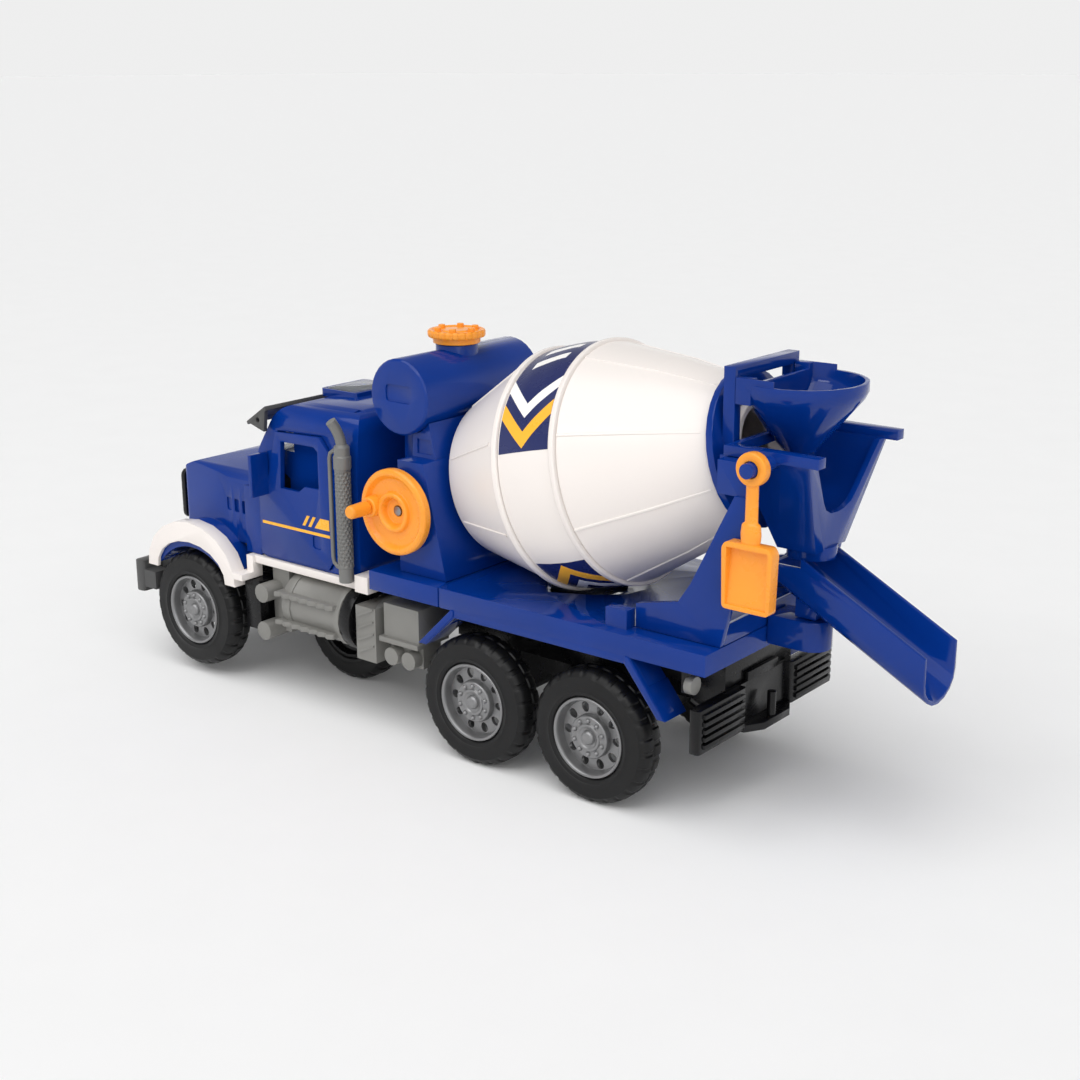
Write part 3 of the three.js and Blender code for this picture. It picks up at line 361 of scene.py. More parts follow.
def smooth_group():
    """A geometry group that smooths every edge flatter than its angle, and keeps the others sharp."""
    group = bpy.data.node_groups.new("smooth_by_angle", "GeometryNodeTree")
    group.interface.new_socket("Geometry", in_out="INPUT", socket_type="NodeSocketGeometry")
    group.interface.new_socket("Geometry", in_out="OUTPUT", socket_type="NodeSocketGeometry")
    start = group.nodes.new("NodeGroupInput")
    end = group.nodes.new("NodeGroupOutput")
    angle = group.nodes.new("GeometryNodeInputMeshEdgeAngle")
    flatter = group.nodes.new("FunctionNodeCompare")
    flatter.operation = "LESS_THAN"
    flatter.inputs["B"].default_value = SMOOTH_BELOW
    faces = group.nodes.new("GeometryNodeSetShadeSmooth")
    edges = group.nodes.new("GeometryNodeSetShadeSmooth")
    edges.domain = "EDGE"
    group.links.new(start.outputs[0], faces.inputs["Geometry"])
    group.links.new(faces.outputs[0], edges.inputs["Geometry"])
    group.links.new(angle.outputs["Unsigned Angle"], flatter.inputs["A"])
    group.links.new(flatter.outputs["Result"], edges.inputs["Shade Smooth"])
    group.links.new(edges.outputs[0], end.inputs[0])
    return group


SMOOTH = smooth_group()


def soften(piece, width, weld=False):
    """Rounds a piece's edges by `width` millimetres and shades its curved faces smooth.

    weld is for CAD nodes, whose triangles are first joined into whole flat faces.
    """
    if weld:
        piece.modifiers.new("weld", "WELD").merge_threshold = WELD_DISTANCE * MM
        flat = piece.modifiers.new("flat_faces", "DECIMATE")
        flat.decimate_type = "DISSOLVE"
        flat.angle_limit = FLAT_BELOW
    if width:
        edge = piece.modifiers.new("edge", "BEVEL")
        edge.width = width * MM
        edge.segments = EDGE_SEGMENTS
        edge.limit_method = "ANGLE"
        edge.angle_limit = ROUND_ABOVE
        edge.use_clamp_overlap = True
        edge.miter_outer = "MITER_ARC"
    piece.modifiers.new("smooth", "NODES").node_group = SMOOTH


def add_piece(name, shape, body, finish, replaces=(), edge=0.0):
    """A new piece from a shape, riding on a CAD body in place of the CAD nodes it replaces."""
    points, faces = shape
    mesh = bpy.data.meshes.new(name)
    mesh.from_pydata([ROW_FROM_LAYOUT @ Vector(p) for p in points], [], faces)
    mesh.validate()
    mesh.materials.append(finish)
    piece = bpy.data.objects.new(name, mesh)
    bpy.context.scene.collection.objects.link(piece)
    make_faces_agree(mesh)
    soften(piece, edge)
    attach(piece, body)
    if replaces:
        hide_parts(*replaces)
    return piece


def make_faces_agree(mesh):
    """Turns every face outwards."""
    work = bmesh.new()
    work.from_mesh(mesh)
    bmesh.ops.recalc_face_normals(work, faces=work.faces)
    work.to_mesh(mesh)
    work.free()


# ---------------------------------------------------------------- wheels

WHEEL_R = 25.0
SEAT_R = 15.3
TRACK_Y = 39.0
LUGS = 26
TYRE_SEGMENTS = LUGS * 10
GROOVE_START_R = 22.4  # where the tread blocks' grooves begin
GROOVE_DEPTH = 0.5
GROOVE_SHARE = 0.24  # of the pitch from one block to the next
CENTRE_GROOVE_DEPTH = 0.45
CENTRE_GROOVE_HALF = 0.5


def tyre_shape():
    """A tyre about the Y axis with two staggered rows of tread blocks."""
    side = [
        (SEAT_R, -5.6),
        (SEAT_R + 0.5, -6.2),
        (17.0, -6.45),
        (17.6, -6.2),
        (19.0, -6.25),
        (21.6, -6.1),
        (22.4, -6.1),
        (22.7, -5.9),
        (23.6, -5.4),
        (24.4, -4.5),
        (24.8, -3.4),
    ]
    crown = [(WHEEL_R, y) for y in (-2.4, -1.2, -0.7, -0.3, 0.3, 0.7, 1.2, 2.4)]
    profile = side + crown + [(r, -y) for r, y in reversed(side)]

    def lugs(radius, across, angle):
        if radius <= GROOVE_START_R:
            return radius
        turn = angle / (2 * math.pi) * LUGS + (0.5 if across > 0 else 0.0)
        if turn % 1.0 < GROOVE_SHARE:
            return radius - GROOVE_DEPTH * min(1.0, (radius - GROOVE_START_R) / 1.2)
        if abs(across) < CENTRE_GROOVE_HALF:
            return radius - CENTRE_GROOVE_DEPTH
        return radius

    points, faces = revolve(profile, (0, 0, 0), (0, 1, 0), TYRE_SEGMENTS, side=(1, 0, 0), bend=lugs)
    last = (len(profile) - 1) * TYRE_SEGMENTS
    for k in range(TYRE_SEGMENTS):
        after = (k + 1) % TYRE_SEGMENTS
        faces.append((k, after, last + after, last + k))
    return points, faces


BOLT_COUNT = 10
BOLT_CIRCLE_R = 6.3
DISH_FACE = -5.0


def rim_shape():
    """The dished wheel centre with its hub ring, bolts and cap; its slots are cut afterwards. Its outer
    side faces -Y.
    """
    nut = fillet([(0, -1.2), (0.5, -1.2), (0.95, -0.4), (1.05, 0.4)], 0.4)
    bolts = []
    for k in range(BOLT_COUNT):
        angle = 2 * math.pi * (k + 0.5) / BOLT_COUNT
        spot = (BOLT_CIRCLE_R * math.cos(angle), DISH_FACE, BOLT_CIRCLE_R * math.sin(angle))
        bolts.append(revolve(nut, spot, (0, 1, 0), segments=12))
    cap = fillet([(0, -6.7), (1.9, -6.5), (2.5, -5.8), (2.7, -5.1)], 0.8)
    hub = [
        (2.7, -5.1),
        (3.6, -5.3),
        (4.2, -5.8),
        (5.0, -5.8),
        (5.2, -5.2),
        (7.6, -5.2),
        (8.0, -4.6),
        (8.2, -2.5),
    ]
    lip = [
        (12.9, -2.4),
        (13.5, -5.2),
        (13.9, -6.1),
        (14.6, -6.3),
        (15.0, -5.9),
        (15.0, 6.0),
        (13.4, 6.0),
        (12.9, -1.0),
    ]
    back = [(3.0, -1.0), (3.0, 0.0), (0, 0.0)]
    profile = cap[:-1] + fillet(hub, 0.3) + fillet(lip, 0.35) + back
    return revolve(profile, (0, 0, 0), (0, 1, 0), segments=80, side=(1, 0, 0)), bolts


SLOT_COUNT = 10
SLOT_CIRCLE_R = 10.6
SLOT_HALF_LENGTH = 1.95  # along the wheel's radius
SLOT_HALF_WIDTH = 1.6
SLOT_FLARE = 0.12  # how much wider a slot is towards the rim
SLOT_POINTS = 16


def slot_cutters():
    """The oval holes through the dish, as one cutting shape."""
    cutters = []
    for k in range(SLOT_COUNT):
        angle = 2 * math.pi * k / SLOT_COUNT
        outline = []
        for i in range(SLOT_POINTS):
            t = 2 * math.pi * i / SLOT_POINTS
            out = SLOT_CIRCLE_R + SLOT_HALF_LENGTH * math.cos(t)
            across = SLOT_HALF_WIDTH * math.sin(t) * (1 + SLOT_FLARE * math.cos(t))
            x = out * math.cos(angle) - across * math.sin(angle)
            z = out * math.sin(angle) + across * math.cos(angle)
            outline.append((x, z))
        cutters.append(prism(outline, -4.5, 0.5))
    return combine(*cutters)


def mesh_of(name, shape):
    """A shape as an object in layout millimetres, for cutting only."""
    mesh = bpy.data.meshes.new(name)
    points, faces = shape
    mesh.from_pydata([Vector(p) for p in points], [], faces)
    make_faces_agree(mesh)
    made = bpy.data.objects.new(name, mesh)
    bpy.context.scene.collection.objects.link(made)
    return made


def cut_shape(shape, cutter, operation="DIFFERENCE"):
    """The first shape with the second one taken out of it, added to it, or kept only where both are."""
    body, tool = mesh_of("cut_body", shape), mesh_of("cut_tool", cutter)
    cut = body.modifiers.new("cut", "BOOLEAN")
    cut.object = tool
    cut.operation = operation
    cut.solver = "EXACT"
    result = body.evaluated_get(bpy.context.evaluated_depsgraph_get()).to_mesh()
    made = [v.co.copy() for v in result.vertices], [tuple(f.vertices) for f in result.polygons]
    bpy.data.objects.remove(body)
    bpy.data.objects.remove(tool)
    return made


def build_wheels():
    """Tyres and wheel centres of the three road axles, and the centre wheel's tyre."""
    tyre = tyre_shape()
    dish, bolts = rim_shape()
    slotted = cut_shape(dish, slot_cutters())
    rim = combine(slotted, *bolts)
    for axle in ("front", "mid", "rear"):
        centre = layout(f"{axle}_axle")
        body = f"{axle}_wheels"
        for side, across in (("left", -TRACK_Y), ("right", TRACK_Y)):
            spot = Matrix.Translation((centre.x, across, centre.z))
            rubber = changed(tyre if side == "left" else mirrored(tyre), spot)
            replaced = f"tyre_{axle}_{side}"
            add_piece(f"{replaced}_tread", rubber, body, RUBBER, [replaced])
            metal = changed(rim if side == "left" else mirrored(rim), spot)
            replaced = f"rim_{axle}_{side}"
            add_piece(f"{replaced}_dish", metal, body, SILVER, [replaced])
    centre = layout("tyre_centre")
    spot = Matrix.Translation(centre)
    add_piece("tyre_centre_tread", changed(tyre, spot), "centre_wheel", RUBBER, ["tyre_centre"])


# ---------------------------------------------------------------- drum

DRUM_AT = Vector((-40, 0, 108.15))
DRUM_AXIS = Vector((math.cos(TILT), 0, math.sin(TILT)))
LEFT = Vector((0, -1, 0))
DRUM_SEGMENTS = 160
RIB_COUNT = 8
RIB_HALF = 0.6
RIB_CREST_HALF = RIB_HALF * 0.55
RIB_HEIGHT = 0.4
RIB_ROOT = -0.9  # below the cone's surface
RING_DEPTH = 2.2
BAND = [(44.6, 1.5), (45.2, 9.0), (45.1, 17.0), (44.1, 24.6)]


def on_drum(profile):
    """A profile of (radius, station) turned about the drum's axis."""
    return revolve(profile, DRUM_AT, DRUM_AXIS, DRUM_SEGMENTS, side=LEFT)


def drum_ribs(route):
    """Low ribs along a cone, following its (radius, station) points."""
    ribs = []
    sections = [
        (-RIB_HALF, RIB_ROOT),
        (-RIB_HALF, 0.0),
        (-RIB_CREST_HALF, RIB_HEIGHT),
        (RIB_CREST_HALF, RIB_HEIGHT),
        (RIB_HALF, 0.0),
        (RIB_HALF, RIB_ROOT),
    ]
    for k in range(RIB_COUNT):
        angle = 2 * math.pi * (k + 0.5) / RIB_COUNT
        outward = LEFT * math.cos(angle) + DRUM_AXIS.cross(LEFT) * math.sin(angle)
        sideways = DRUM_AXIS.cross(outward)
        points = []
        for radius, station in route:
            for side, out in sections:
                points.append(DRUM_AT + DRUM_AXIS * station + outward * (radius + out) + sideways * side)
        count = len(sections)
        faces = grid_faces(len(route), count, wrap=True)
        faces += [tuple(range(count)), tuple(range(len(points) - 1, len(points) - 1 - count, -1))]
        ribs.append((points, faces))
    return combine(*ribs)


def ring(radius, low, high):
    """The profile of a raised ring between two stations."""
    inner = radius - RING_DEPTH
    return fillet([(inner, low), (radius, low), (radius, high), (inner, high)], 0.7)


def add_drum_piece(name, shape, replaced):
    add_piece(name, shape, "drum", WHITE, [replaced])


def build_drum():
    """The drum's front cone, rear cone with its neck, and the band between them."""
    front = fillet([(2.45, -37.1), (20, -37.1), (28.8, -37.1), (30.45, -36.1), (44.4, -2.0)], 1.6, steps=6)
    front += ring(45.72, -1.3, 1.2)
    front += [(28.6, -34.6), (2.45, -34.6), (2.45, -37.1)]
    front_ribs = drum_ribs([(31.5, -33.6), (43.6, -4.0)])
    add_drum_piece("drum_front_shell", combine(on_drum(front), front_ribs), "drum_front_cone")

    neck = [
        (43.7, 27.6),
        (34.6, 54),
        (25.2, 76.4),
        (24.2, 77.5),
        (16.2, 77.5),
        (16.2, 83.6),
        (14, 83.6),
        (14, 75.9),
    ]
    rear = ring(45.2, 24.9, 27.2) + fillet(neck, 0.6)
    rear += [(23.4, 75.9), (33, 53.4), (42.2, 27.4), (43.0, 24.9)]
    rear_ribs = drum_ribs([(43.7, 27.8), (34.6, 54), (25.6, 75.0)])
    add_drum_piece("drum_rear_shell", combine(on_drum(rear), rear_ribs), "drum_rear_cone")

    band = [(43, 1.5)] + BAND + [(42.2, 24.6), (43, 1.5)]
    add_drum_piece("drum_band_shell", on_drum(band), "drum_band")


def band_radius(station):
    """The band's radius at a station, on the straight line between the BAND points beside it."""
    for (r0, s0), (r1, s1) in zip(BAND, BAND[1:]):
        if station <= s1:
            return r0 + (r1 - r0) * (station - s0) / (s1 - s0)
    return BAND[-1][0]


FILM_THICKNESS = 0.12


def film(corners, lift, place, steps):
    """A thin printed film over a four-cornered area, `lift` above the surface.

    place(u, v, lift) gives a point above the surface, and steps is the number of divisions both ways.
    """
    rows, columns = steps[0] + 1, steps[1] + 1
    sheets = []
    for height in (lift, lift - FILM_THICKNESS):
        points = []
        for i in range(rows):
            for j in range(columns):
                t, s = i / steps[0], j / steps[1]
                first = Vector(corners[0]).lerp(Vector(corners[1]), s)
                last = Vector(corners[3]).lerp(Vector(corners[2]), s)
                u, v = first.lerp(last, t)
                points.append(place(u, v, height))
        sheets.append(points)
    count = rows * columns
    top = grid_faces(rows, columns)
    faces = top + [tuple(reversed([i + count for i in face])) for face in top]
    rim = list(range(columns))
    rim += [i * columns + columns - 1 for i in range(1, rows)]
    rim += [(rows - 1) * columns + j for j in range(columns - 2, -1, -1)]
    rim += [i * columns for i in range(rows - 2, 0, -1)]
    for a, b in zip(rim, rim[1:] + rim[:1]):
        faces.append((b, a, a + count, b + count))
    return sheets[0] + sheets[1], faces


def on_band(angle, station, lift):
    """A point above the drum's band, at an angle in degrees from its left side."""
    turn = math.radians(angle)
    outward = LEFT * math.cos(turn) + Vector((-math.sin(TILT), 0, math.cos(TILT))) * math.sin(turn)
    return DRUM_AT + DRUM_AXIS * station + outward * (band_radius(station) + lift)


PRINT_START = 16.5  # degrees round the drum from its left side
PRINT_LENGTH = 123.5
PRINT_LOW = 2.0  # stations of the print's two long edges
PRINT_HIGH = 24.2
PATCH_LIFT = 0.07
SIGN_LIFT = 0.14  # the chevrons and bars lie on the navy patch
CHEVRON_RISE = 15.0  # degrees from a chevron's tip to its ends
YELLOW_WIDTH = 7.5  # degrees
WHITE_WIDTH = 7.0
CHEVRON_PITCH = 14.0
TIP_MARGIN = 1.5  # degrees from the patch's end to the first tip
BAR_PITCH = 12.0


def chevron(tip, width, direction):
    """A V whose tip lies in the middle of the band, as two slanting strips of film."""
    centre = (PRINT_LOW + PRINT_HIGH) / 2
    arms = []
    for edge in (PRINT_LOW, PRINT_HIGH):
        corners = [
            (tip, centre),
            (tip + direction * CHEVRON_RISE, edge),
            (tip + direction * (CHEVRON_RISE + width), edge),
            (tip + direction * width, centre),
        ]
        arms.append(film(corners, SIGN_LIFT, on_band, steps=(4, 12)))
    return combine(*arms)


def slanting_bar(angle):
    corners = [(angle - 2.5, 7.0), (angle + 4.5, 19.2), (angle + 9.5, 19.2), (angle + 2.5, 7.0)]
    return film(corners, SIGN_LIFT, on_band, steps=(6, 8))


def build_drum_print():
    """Two navy prints on the band, each with white and yellow chevrons at both ends and bars between."""
    navy, white, yellow = [], [], []
    for start in (PRINT_START, PRINT_START + 180):
        end = start + PRINT_LENGTH
        patch = [(start, PRINT_LOW), (start, PRINT_HIGH), (end, PRINT_HIGH), (end, PRINT_LOW)]
        navy.append(film(patch, PATCH_LIFT, on_band, steps=(60, 10)))
        for tip, direction in ((start + TIP_MARGIN, 1), (end - TIP_MARGIN, -1)):
            yellow.append(chevron(tip, YELLOW_WIDTH, direction))
            white.append(chevron(tip + direction * CHEVRON_PITCH, WHITE_WIDTH, direction))
        middle_angle = (start + end) / 2
        for k in (-1, 0, 1):
            white.append(slanting_bar(middle_angle + k * BAR_PITCH - 3.0))
    add_piece("drum_print_navy", combine(*navy), "drum", NAVY_FILM)
    add_piece("drum_print_white", combine(*white), "drum", WHITE_FILM)
    add_piece("drum_print_yellow", combine(*yellow), "drum", YELLOW_FILM)


# ---------------------------------------------------------------- crank, cap and exhaust

CRANK_AT = Vector((-92, 0, 91.7))
KNOB_RADIUS = 10.6
KNOB_ANGLE = math.radians(176)
TANK_X = -97.9


def build_crank():
    """The dished crank disc with the knob's boss, and the knob."""
    profile = fillet(
        [
            (2.05, -39.2),
            (5.2, -39.2),
            (5.2, -40.6),
            (15.4, -40.6),
            (16.6, -41.4),
            (16.6, -44.2),
            (15.6, -45.0),
            (14.2, -45.0),
            (12.9, -43.2),
            (7.9, -43.0),
            (7.5, -44.8),
            (6.7, -45.2),
            (6.0, -45.0),
            (5.4, -43.8),
            (5.0, -41.8),
            (2.05, -41.6),
            (2.05, -39.2),
        ],
        0.5,
    )
    disc = revolve(profile, CRANK_AT, (0, 1, 0), segments=112)
    knob_at = CRANK_AT + Vector((math.cos(KNOB_ANGLE), 0, math.sin(KNOB_ANGLE))) * KNOB_RADIUS
    collar = fillet(
        [(1.75, -42.4), (4.3, -42.4), (3.8, -46.6), (3.4, -47.0), (1.75, -47.0), (1.75, -42.4)],
        0.5,
    )
    boss = revolve(collar, (knob_at.x, 0, knob_at.z), (0, 1, 0), segments=48)
    add_piece("crank_wheel", combine(disc, boss), "crank", ORANGE, ["crank_disc"])
    knob = fillet(
        [(0, -43), (1.6, -43), (1.6, -47.3), (2.7, -47.3), (2.75, -50), (2.6, -56), (2.0, -57), (0, -57)],
        0.5,
    )
    grip = revolve(knob, (knob_at.x, 0, knob_at.z), (0, 1, 0), segments=40)
    add_piece("crank_grip", grip, "knob", ORANGE, ["crank_knob"])


NOTCH_COUNT = 24
NOTCH_DEPTH = 0.35
NOTCH_SHARE = 0.3  # of the pitch from one notch to the next
NOTCHED_FROM_R = 10.8
STUD_COUNT = 6
STUD_CIRCLE_R = 7.6


def build_cap():
    """The water tank's filler cap, notched round its edge and studded on top."""
    profile = fillet(
        [
            (0, 144),
            (5.2, 144),
            (5.2, 149.6),
            (9.2, 149.6),
            (9.2, 151.9),
            (10.9, 151.9),
            (11.2, 152.5),
            (11.2, 154.2),
            (10.7, 154.7),
            (9.6, 154.7),
            (9.2, 154.2),
            (6.0, 154.2),
            (5.6, 154.7),
            (0, 154.7),
        ],
        0.35,
    )

    def notches(radius, height, angle):
        step = angle / (2 * math.pi) * NOTCH_COUNT % 1.0
        return radius - NOTCH_DEPTH if radius > NOTCHED_FROM_R and step < NOTCH_SHARE else radius

    cap = revolve(profile, (TANK_X, 0, 0), (0, 0, 1), segments=144, bend=notches)
    stud = fillet([(1.35, 154.0), (1.35, 155.8), (0, 155.8)], 0.3)
    studs = []
    for k in range(STUD_COUNT):
        angle = 2 * math.pi * k / STUD_COUNT
        spot = (TANK_X + STUD_CIRCLE_R * math.cos(angle), STUD_CIRCLE_R * math.sin(angle), 0)
        studs.append(revolve(stud, spot, (0, 0, 1), segments=20))
    add_piece("tank_cap_lid", combine(cap, *studs), "cap", ORANGE, ["tank_cap"])


STACK_X = -122.0
STACK_Y = -40.4
GUARD_LOW = 64.4
GUARD_HIGH = 102.6
GUARD_R = 3.15
HOLE_ROWS = 26
HOLES_ROUND = 12
HOLE_DEPTH = 0.32
HOLE_REACH = 0.78  # a hole's radius, as a share of half its cell
HOLE_SLOPE = 4  # how fast a hole's side falls away
ELBOW_STEPS = 8
RAIL_R = 0.85


def guard_hole(height, angle):
    """How deep in a hole of the guard this point lies, from 0 to 1; rows are staggered by half a hole."""
    row = (height - GUARD_LOW) / (GUARD_HIGH - GUARD_LOW) * HOLE_ROWS
    if not 0 <= row < HOLE_ROWS:
        return 0.0
    turn = angle / (2 * math.pi) * HOLES_ROUND + (0.5 if int(row) % 2 else 0.0)
    across = (turn % 1.0 - 0.5) * 2
    up = (row % 1.0 - 0.5) * 2
    return max(0.0, min(1.0, (HOLE_REACH - math.hypot(across, up * 0.9)) * HOLE_SLOPE))


def exhaust_shape():
    """The left exhaust stack with its perforated guard, swept pipe end and grab rail."""
    steps = HOLE_ROWS * 6
    guard = [(GUARD_R, GUARD_LOW + (GUARD_HIGH - GUARD_LOW) * i / steps) for i in range(steps + 1)]
    foot = fillet([(0, 57.6), (2.9, 57.6), (2.9, 63.4), (3.2, 63.8)], 0.3)
    head = [
        (3.2, 103.0),
        (3.5, 103.5),
        (3.5, 108.2),
        (3.1, 108.6),
        (3.1, 112),
        (2.3, 112.8),
        (2.1, 113),
        (0, 113),
    ]
    body = revolve(
        foot + guard + fillet(head, 0.3),
        (STACK_X, STACK_Y, 0),
        (0, 0, 1),
        segments=96,
        side=(0, -1, 0),
        bend=lambda radius, height, angle: radius - HOLE_DEPTH * guard_hole(height, angle),
    )
    elbow = []
    for i in range(ELBOW_STEPS + 1):
        t = i / ELBOW_STEPS
        elbow.append((STACK_X - 1.8 * t * t, STACK_Y - 3.6 * t * t, 111 + 11.3 * t))
    pipe = tube(elbow, 2.1, sides=24)
    rail = [
        (STACK_X - 1.5, STACK_Y, 110.0),
        (STACK_X - 4.6, STACK_Y, 109.8),
        (STACK_X - 6.3, STACK_Y, 108.6),
        (STACK_X - 6.9, STACK_Y, 106.5),
        (STACK_X - 6.9, STACK_Y, 66.5),
        (STACK_X - 6.3, STACK_Y, 64.4),
        (STACK_X - 4.6, STACK_Y, 63.0),
        (STACK_X - 1.5, STACK_Y, 62.7),
    ]
    return combine(body, pipe, tube(rail, RAIL_R, sides=14))


def build_exhausts():
    shape = exhaust_shape()
    for side in ("left", "right"):
        made = shape if side == "left" else mirrored(shape)
        replaced = f"exhaust_stack_{side}"
        add_piece(f"exhaust_{side}_pipe", made, "truck", STACK_GREY, [replaced])


# ---------------------------------------------------------------- door stripes

DOOR_FACE_Y = -36.9
STRIPE_LIFT = 0.1


def door_surface(sign):
    """Places a film's points on the left door's outer face, or with -1 on the right door's."""

    def place(x, z, lift):
        return Vector((x, sign * (DOOR_FACE_Y - lift), z))

    return place


def build_door_stripes():
    """Plain yellow stripes where the real doors are printed, one long and three short slanting ones."""
    shapes = [
        rectangle(-173.2, -134.0, 72.2, 73.4),
        [(-149.6, 75.2), (-148.0, 75.2), (-145.2, 79.6), (-146.8, 79.6)],
        [(-146.2, 75.2), (-144.6, 75.2), (-141.8, 79.6), (-143.4, 79.6)],
        [(-142.6, 75.2), (-134.2, 75.2), (-134.2, 79.6), (-139.2, 79.6)],
    ]
    for side, sign in (("left", 1), ("right", -1)):
        films = [film(corners, STRIPE_LIFT, door_surface(sign), steps=(2, 4)) for corners in shapes]
        add_piece(f"door_{side}_stripes", combine(*films), f"{side}_door", YELLOW_FILM)


# ---------------------------------------------------------------- cab and bonnet

FRONT_WHEEL_X = -211.5
ARCH_HALF = 27.0
ARCH_HIGH = 21.8
ARCH_BASE_Z = 44.5
ARCH_STEPS = 48
DOOR_SEAM = 0.3


def block(x0, x1, y0, y1, z0, z1):
    return prism(rectangle(x0, x1, z0, z1), y0, y1)


def both_sides(shape):
    return combine(shape, mirrored(shape))


def common(first, second):
    return cut_shape(first, second, "INTERSECT")


def cab_body(inset):
    """The cab's outer form, or its inside, `inset` millimetres further in."""
    side = [
        (-176.3 + inset, 57.6 + inset),
        (-176.3 + inset, 100 - 0.3 * inset),
        (-166.5 + 1.15 * inset, 117.5 - 0.4 * inset),
        (-163 + inset, 120.8 - inset),
        (-156 + inset, 123.2 - inset),
        (-140, 124.4 - inset),
        (-126, 124.2 - inset),
        (-121 - 0.5 * inset, 122.6 - inset),
        (-118.5 - inset, 118 - 0.4 * inset),
        (-118.5 - inset, 57.6 + inset),
    ]
    half_front = [
        (36 - inset, 50),
        (36 - inset, 104),
        (34.6 - inset, 117 - 0.2 * inset),
        (32.6 - inset, 121.4 - 0.6 * inset),
        (28 - inset, 123.4 - inset),
        (16, 124.4 - inset),
    ]
    front = half_front + [(0, 124.7 - inset)] + [(-y, z) for y, z in reversed(half_front)]
    side, front = fillet(side, 5, 5, closed=True), fillet(front, 4.5, 5)
    return common(prism(side, -40, 40), prism(front, -190, -110, "x"))


def bonnet_body(inset):
    """The bonnet's outer form, or its inside, like cab_body."""
    side = [
        (-232 + inset, 60 - 3 * inset),
        (-232 + inset, 83.5 - inset),
        (-229.5 + inset, 87 - inset),
        (-222, 90 - inset),
        (-200, 95.6 - inset),
        (-175, 100.6 - inset),
        (-175, 60 - 3 * inset),
    ]
    half_front = [
        (34 - inset, 55),
        (34 - inset, 85.4 - inset),
        (32 - inset, 88.6 - inset),
        (26, 91.6 - inset),
        (14, 97 - inset),
    ]
    front = half_front + [(0, 100.4 - inset)] + [(-y, z) for y, z in reversed(half_front)]
    half_plan = [
        (-175, 34 - inset),
        (-190, 34 - inset),
        (-230 + inset, 29.6 - inset),
        (-232 + inset, 27 - inset),
    ]
    plan = half_plan + [(x, -y) for x, y in reversed(half_plan)]
    made = common(prism(fillet(side, 7, 6), -40, 40), prism(fillet(front, 7, 6), -232, -175, "x"))
    return common(made, prism(fillet(plan, 6, 6), 50, 110, "z"))


def arch_outline():
    """The front wheel arch's outer edge, an arc a little over half a turn."""
    outline = []
    for i in range(ARCH_STEPS + 1):
        t = math.radians(-4 + 188 * i / ARCH_STEPS)
        x = FRONT_WHEEL_X + 0.2 + ARCH_HALF * math.cos(t)
        outline.append((x, ARCH_BASE_Z + ARCH_HIGH * math.sin(t)))
    return outline


def door_opening():
    """The door's outline with its seam all round."""
    return [
        (-174.6 - DOOR_SEAM, 58.8 - DOOR_SEAM),
        (-174.6 - DOOR_SEAM, 87 + DOOR_SEAM),
        (-168.4 - DOOR_SEAM, 93),
        (-163.4 - DOOR_SEAM, 111.6 + DOOR_SEAM),
        (-138.6 + DOOR_SEAM, 112.6 + DOOR_SEAM),
        (-132.8 + DOOR_SEAM, 106.6 + DOOR_SEAM),
        (-132.8 + DOOR_SEAM, 62.6 - DOOR_SEAM),
        (-135.6 + DOOR_SEAM, 58.8 - DOOR_SEAM),
    ]


def roof_light_frame():
    """The low frame on the roof, hollowed from above for the roof light."""
    outer = fillet(rectangle(-161.6, -141, -12.6, 12.6), 2, 4, closed=True)
    inner = fillet(rectangle(-160.2, -142.4, -11.2, 11.2), 1.4, 4, closed=True)
    return cut_shape(prism(outer, 122.8, 126, "z"), prism(inner, 124.9, 130, "z"))


def build_cab():
    """Cab, bonnet and front fenders as one moulding, hollow inside and open underneath."""
    shell = cab_body(0)
    bonnet_flank = block(-185, -176, -36, -33, 57.6, 86)
    fender = prism(arch_outline(), -43.5, -28)
    for more in (bonnet_body(0), both_sides(bonnet_flank), both_sides(fender)):
        shell = cut_shape(shell, more, "UNION")
    well_profile = [(0, -60), (27.6, -60), (27.6, 60), (0, 60)]
    wheel_well = revolve(well_profile, (FRONT_WHEEL_X, 0, 28.5), (0, 1, 0), segments=96)
    below_skirts = block(-250, -100, -50, 50, 30, 46)
    open_underside = block(-240, -177, -30, 30, 40, 60)
    windscreen_opening = block(-181, -160, -30.5, 30.5, 102.5, 115.8)
    headlight_pocket = block(-245, -230.7, -42.5, -34.9, 46.7, 55.8)
    roof_notch = block(-126, -122, -32, -26, 122.8, 127)
    for less in (
        cab_body(1.8),
        bonnet_body(2),
        wheel_well,
        below_skirts,
        open_underside,
        both_sides(prism(door_opening(), -50, -30)),
        windscreen_opening,
        both_sides(headlight_pocket),
        both_sides(roof_notch),
    ):
        shell = cut_shape(shell, less)
    shell = cut_shape(shell, roof_light_frame(), "UNION")
    for x in (-199.6, -194.4, -189.2):
        vent = fillet(rectangle(x, x + 3.2, 72.6, 78.2), 0.7, 3, closed=True)
        shell = cut_shape(shell, both_sides(prism(vent, -36.7, -32.3)))
    add_piece("cab_body_shell", shell, "truck", BLUE, ["cab_shell"], edge=0.5)


# ---------------------------------------------------------------- mudguard flaps and shovel


def build_flaps():
    """The slanting flaps of the bed's mudguards, closed up to the bed."""
    rear = [(15.9, 59.4), (17.4, 59.4), (32.6, 39.8), (30.0, 39.8), (15.9, 56.9)]
    front = [(-79.6, 43.3), (-76.3, 43.3), (-61.9, 56.8), (-61.9, 59.4), (-63.2, 59.4)]
    flaps = combine(prism(rear, -45.4, -32.2), prism(front, -45.4, -32.2))
    add_piece("mudguard_flaps", both_sides(flaps), "truck", BLUE, edge=0.25)


SHOVEL_X = 60.4
SHOVEL_Y = -38.9
PEG_Z = 130.4


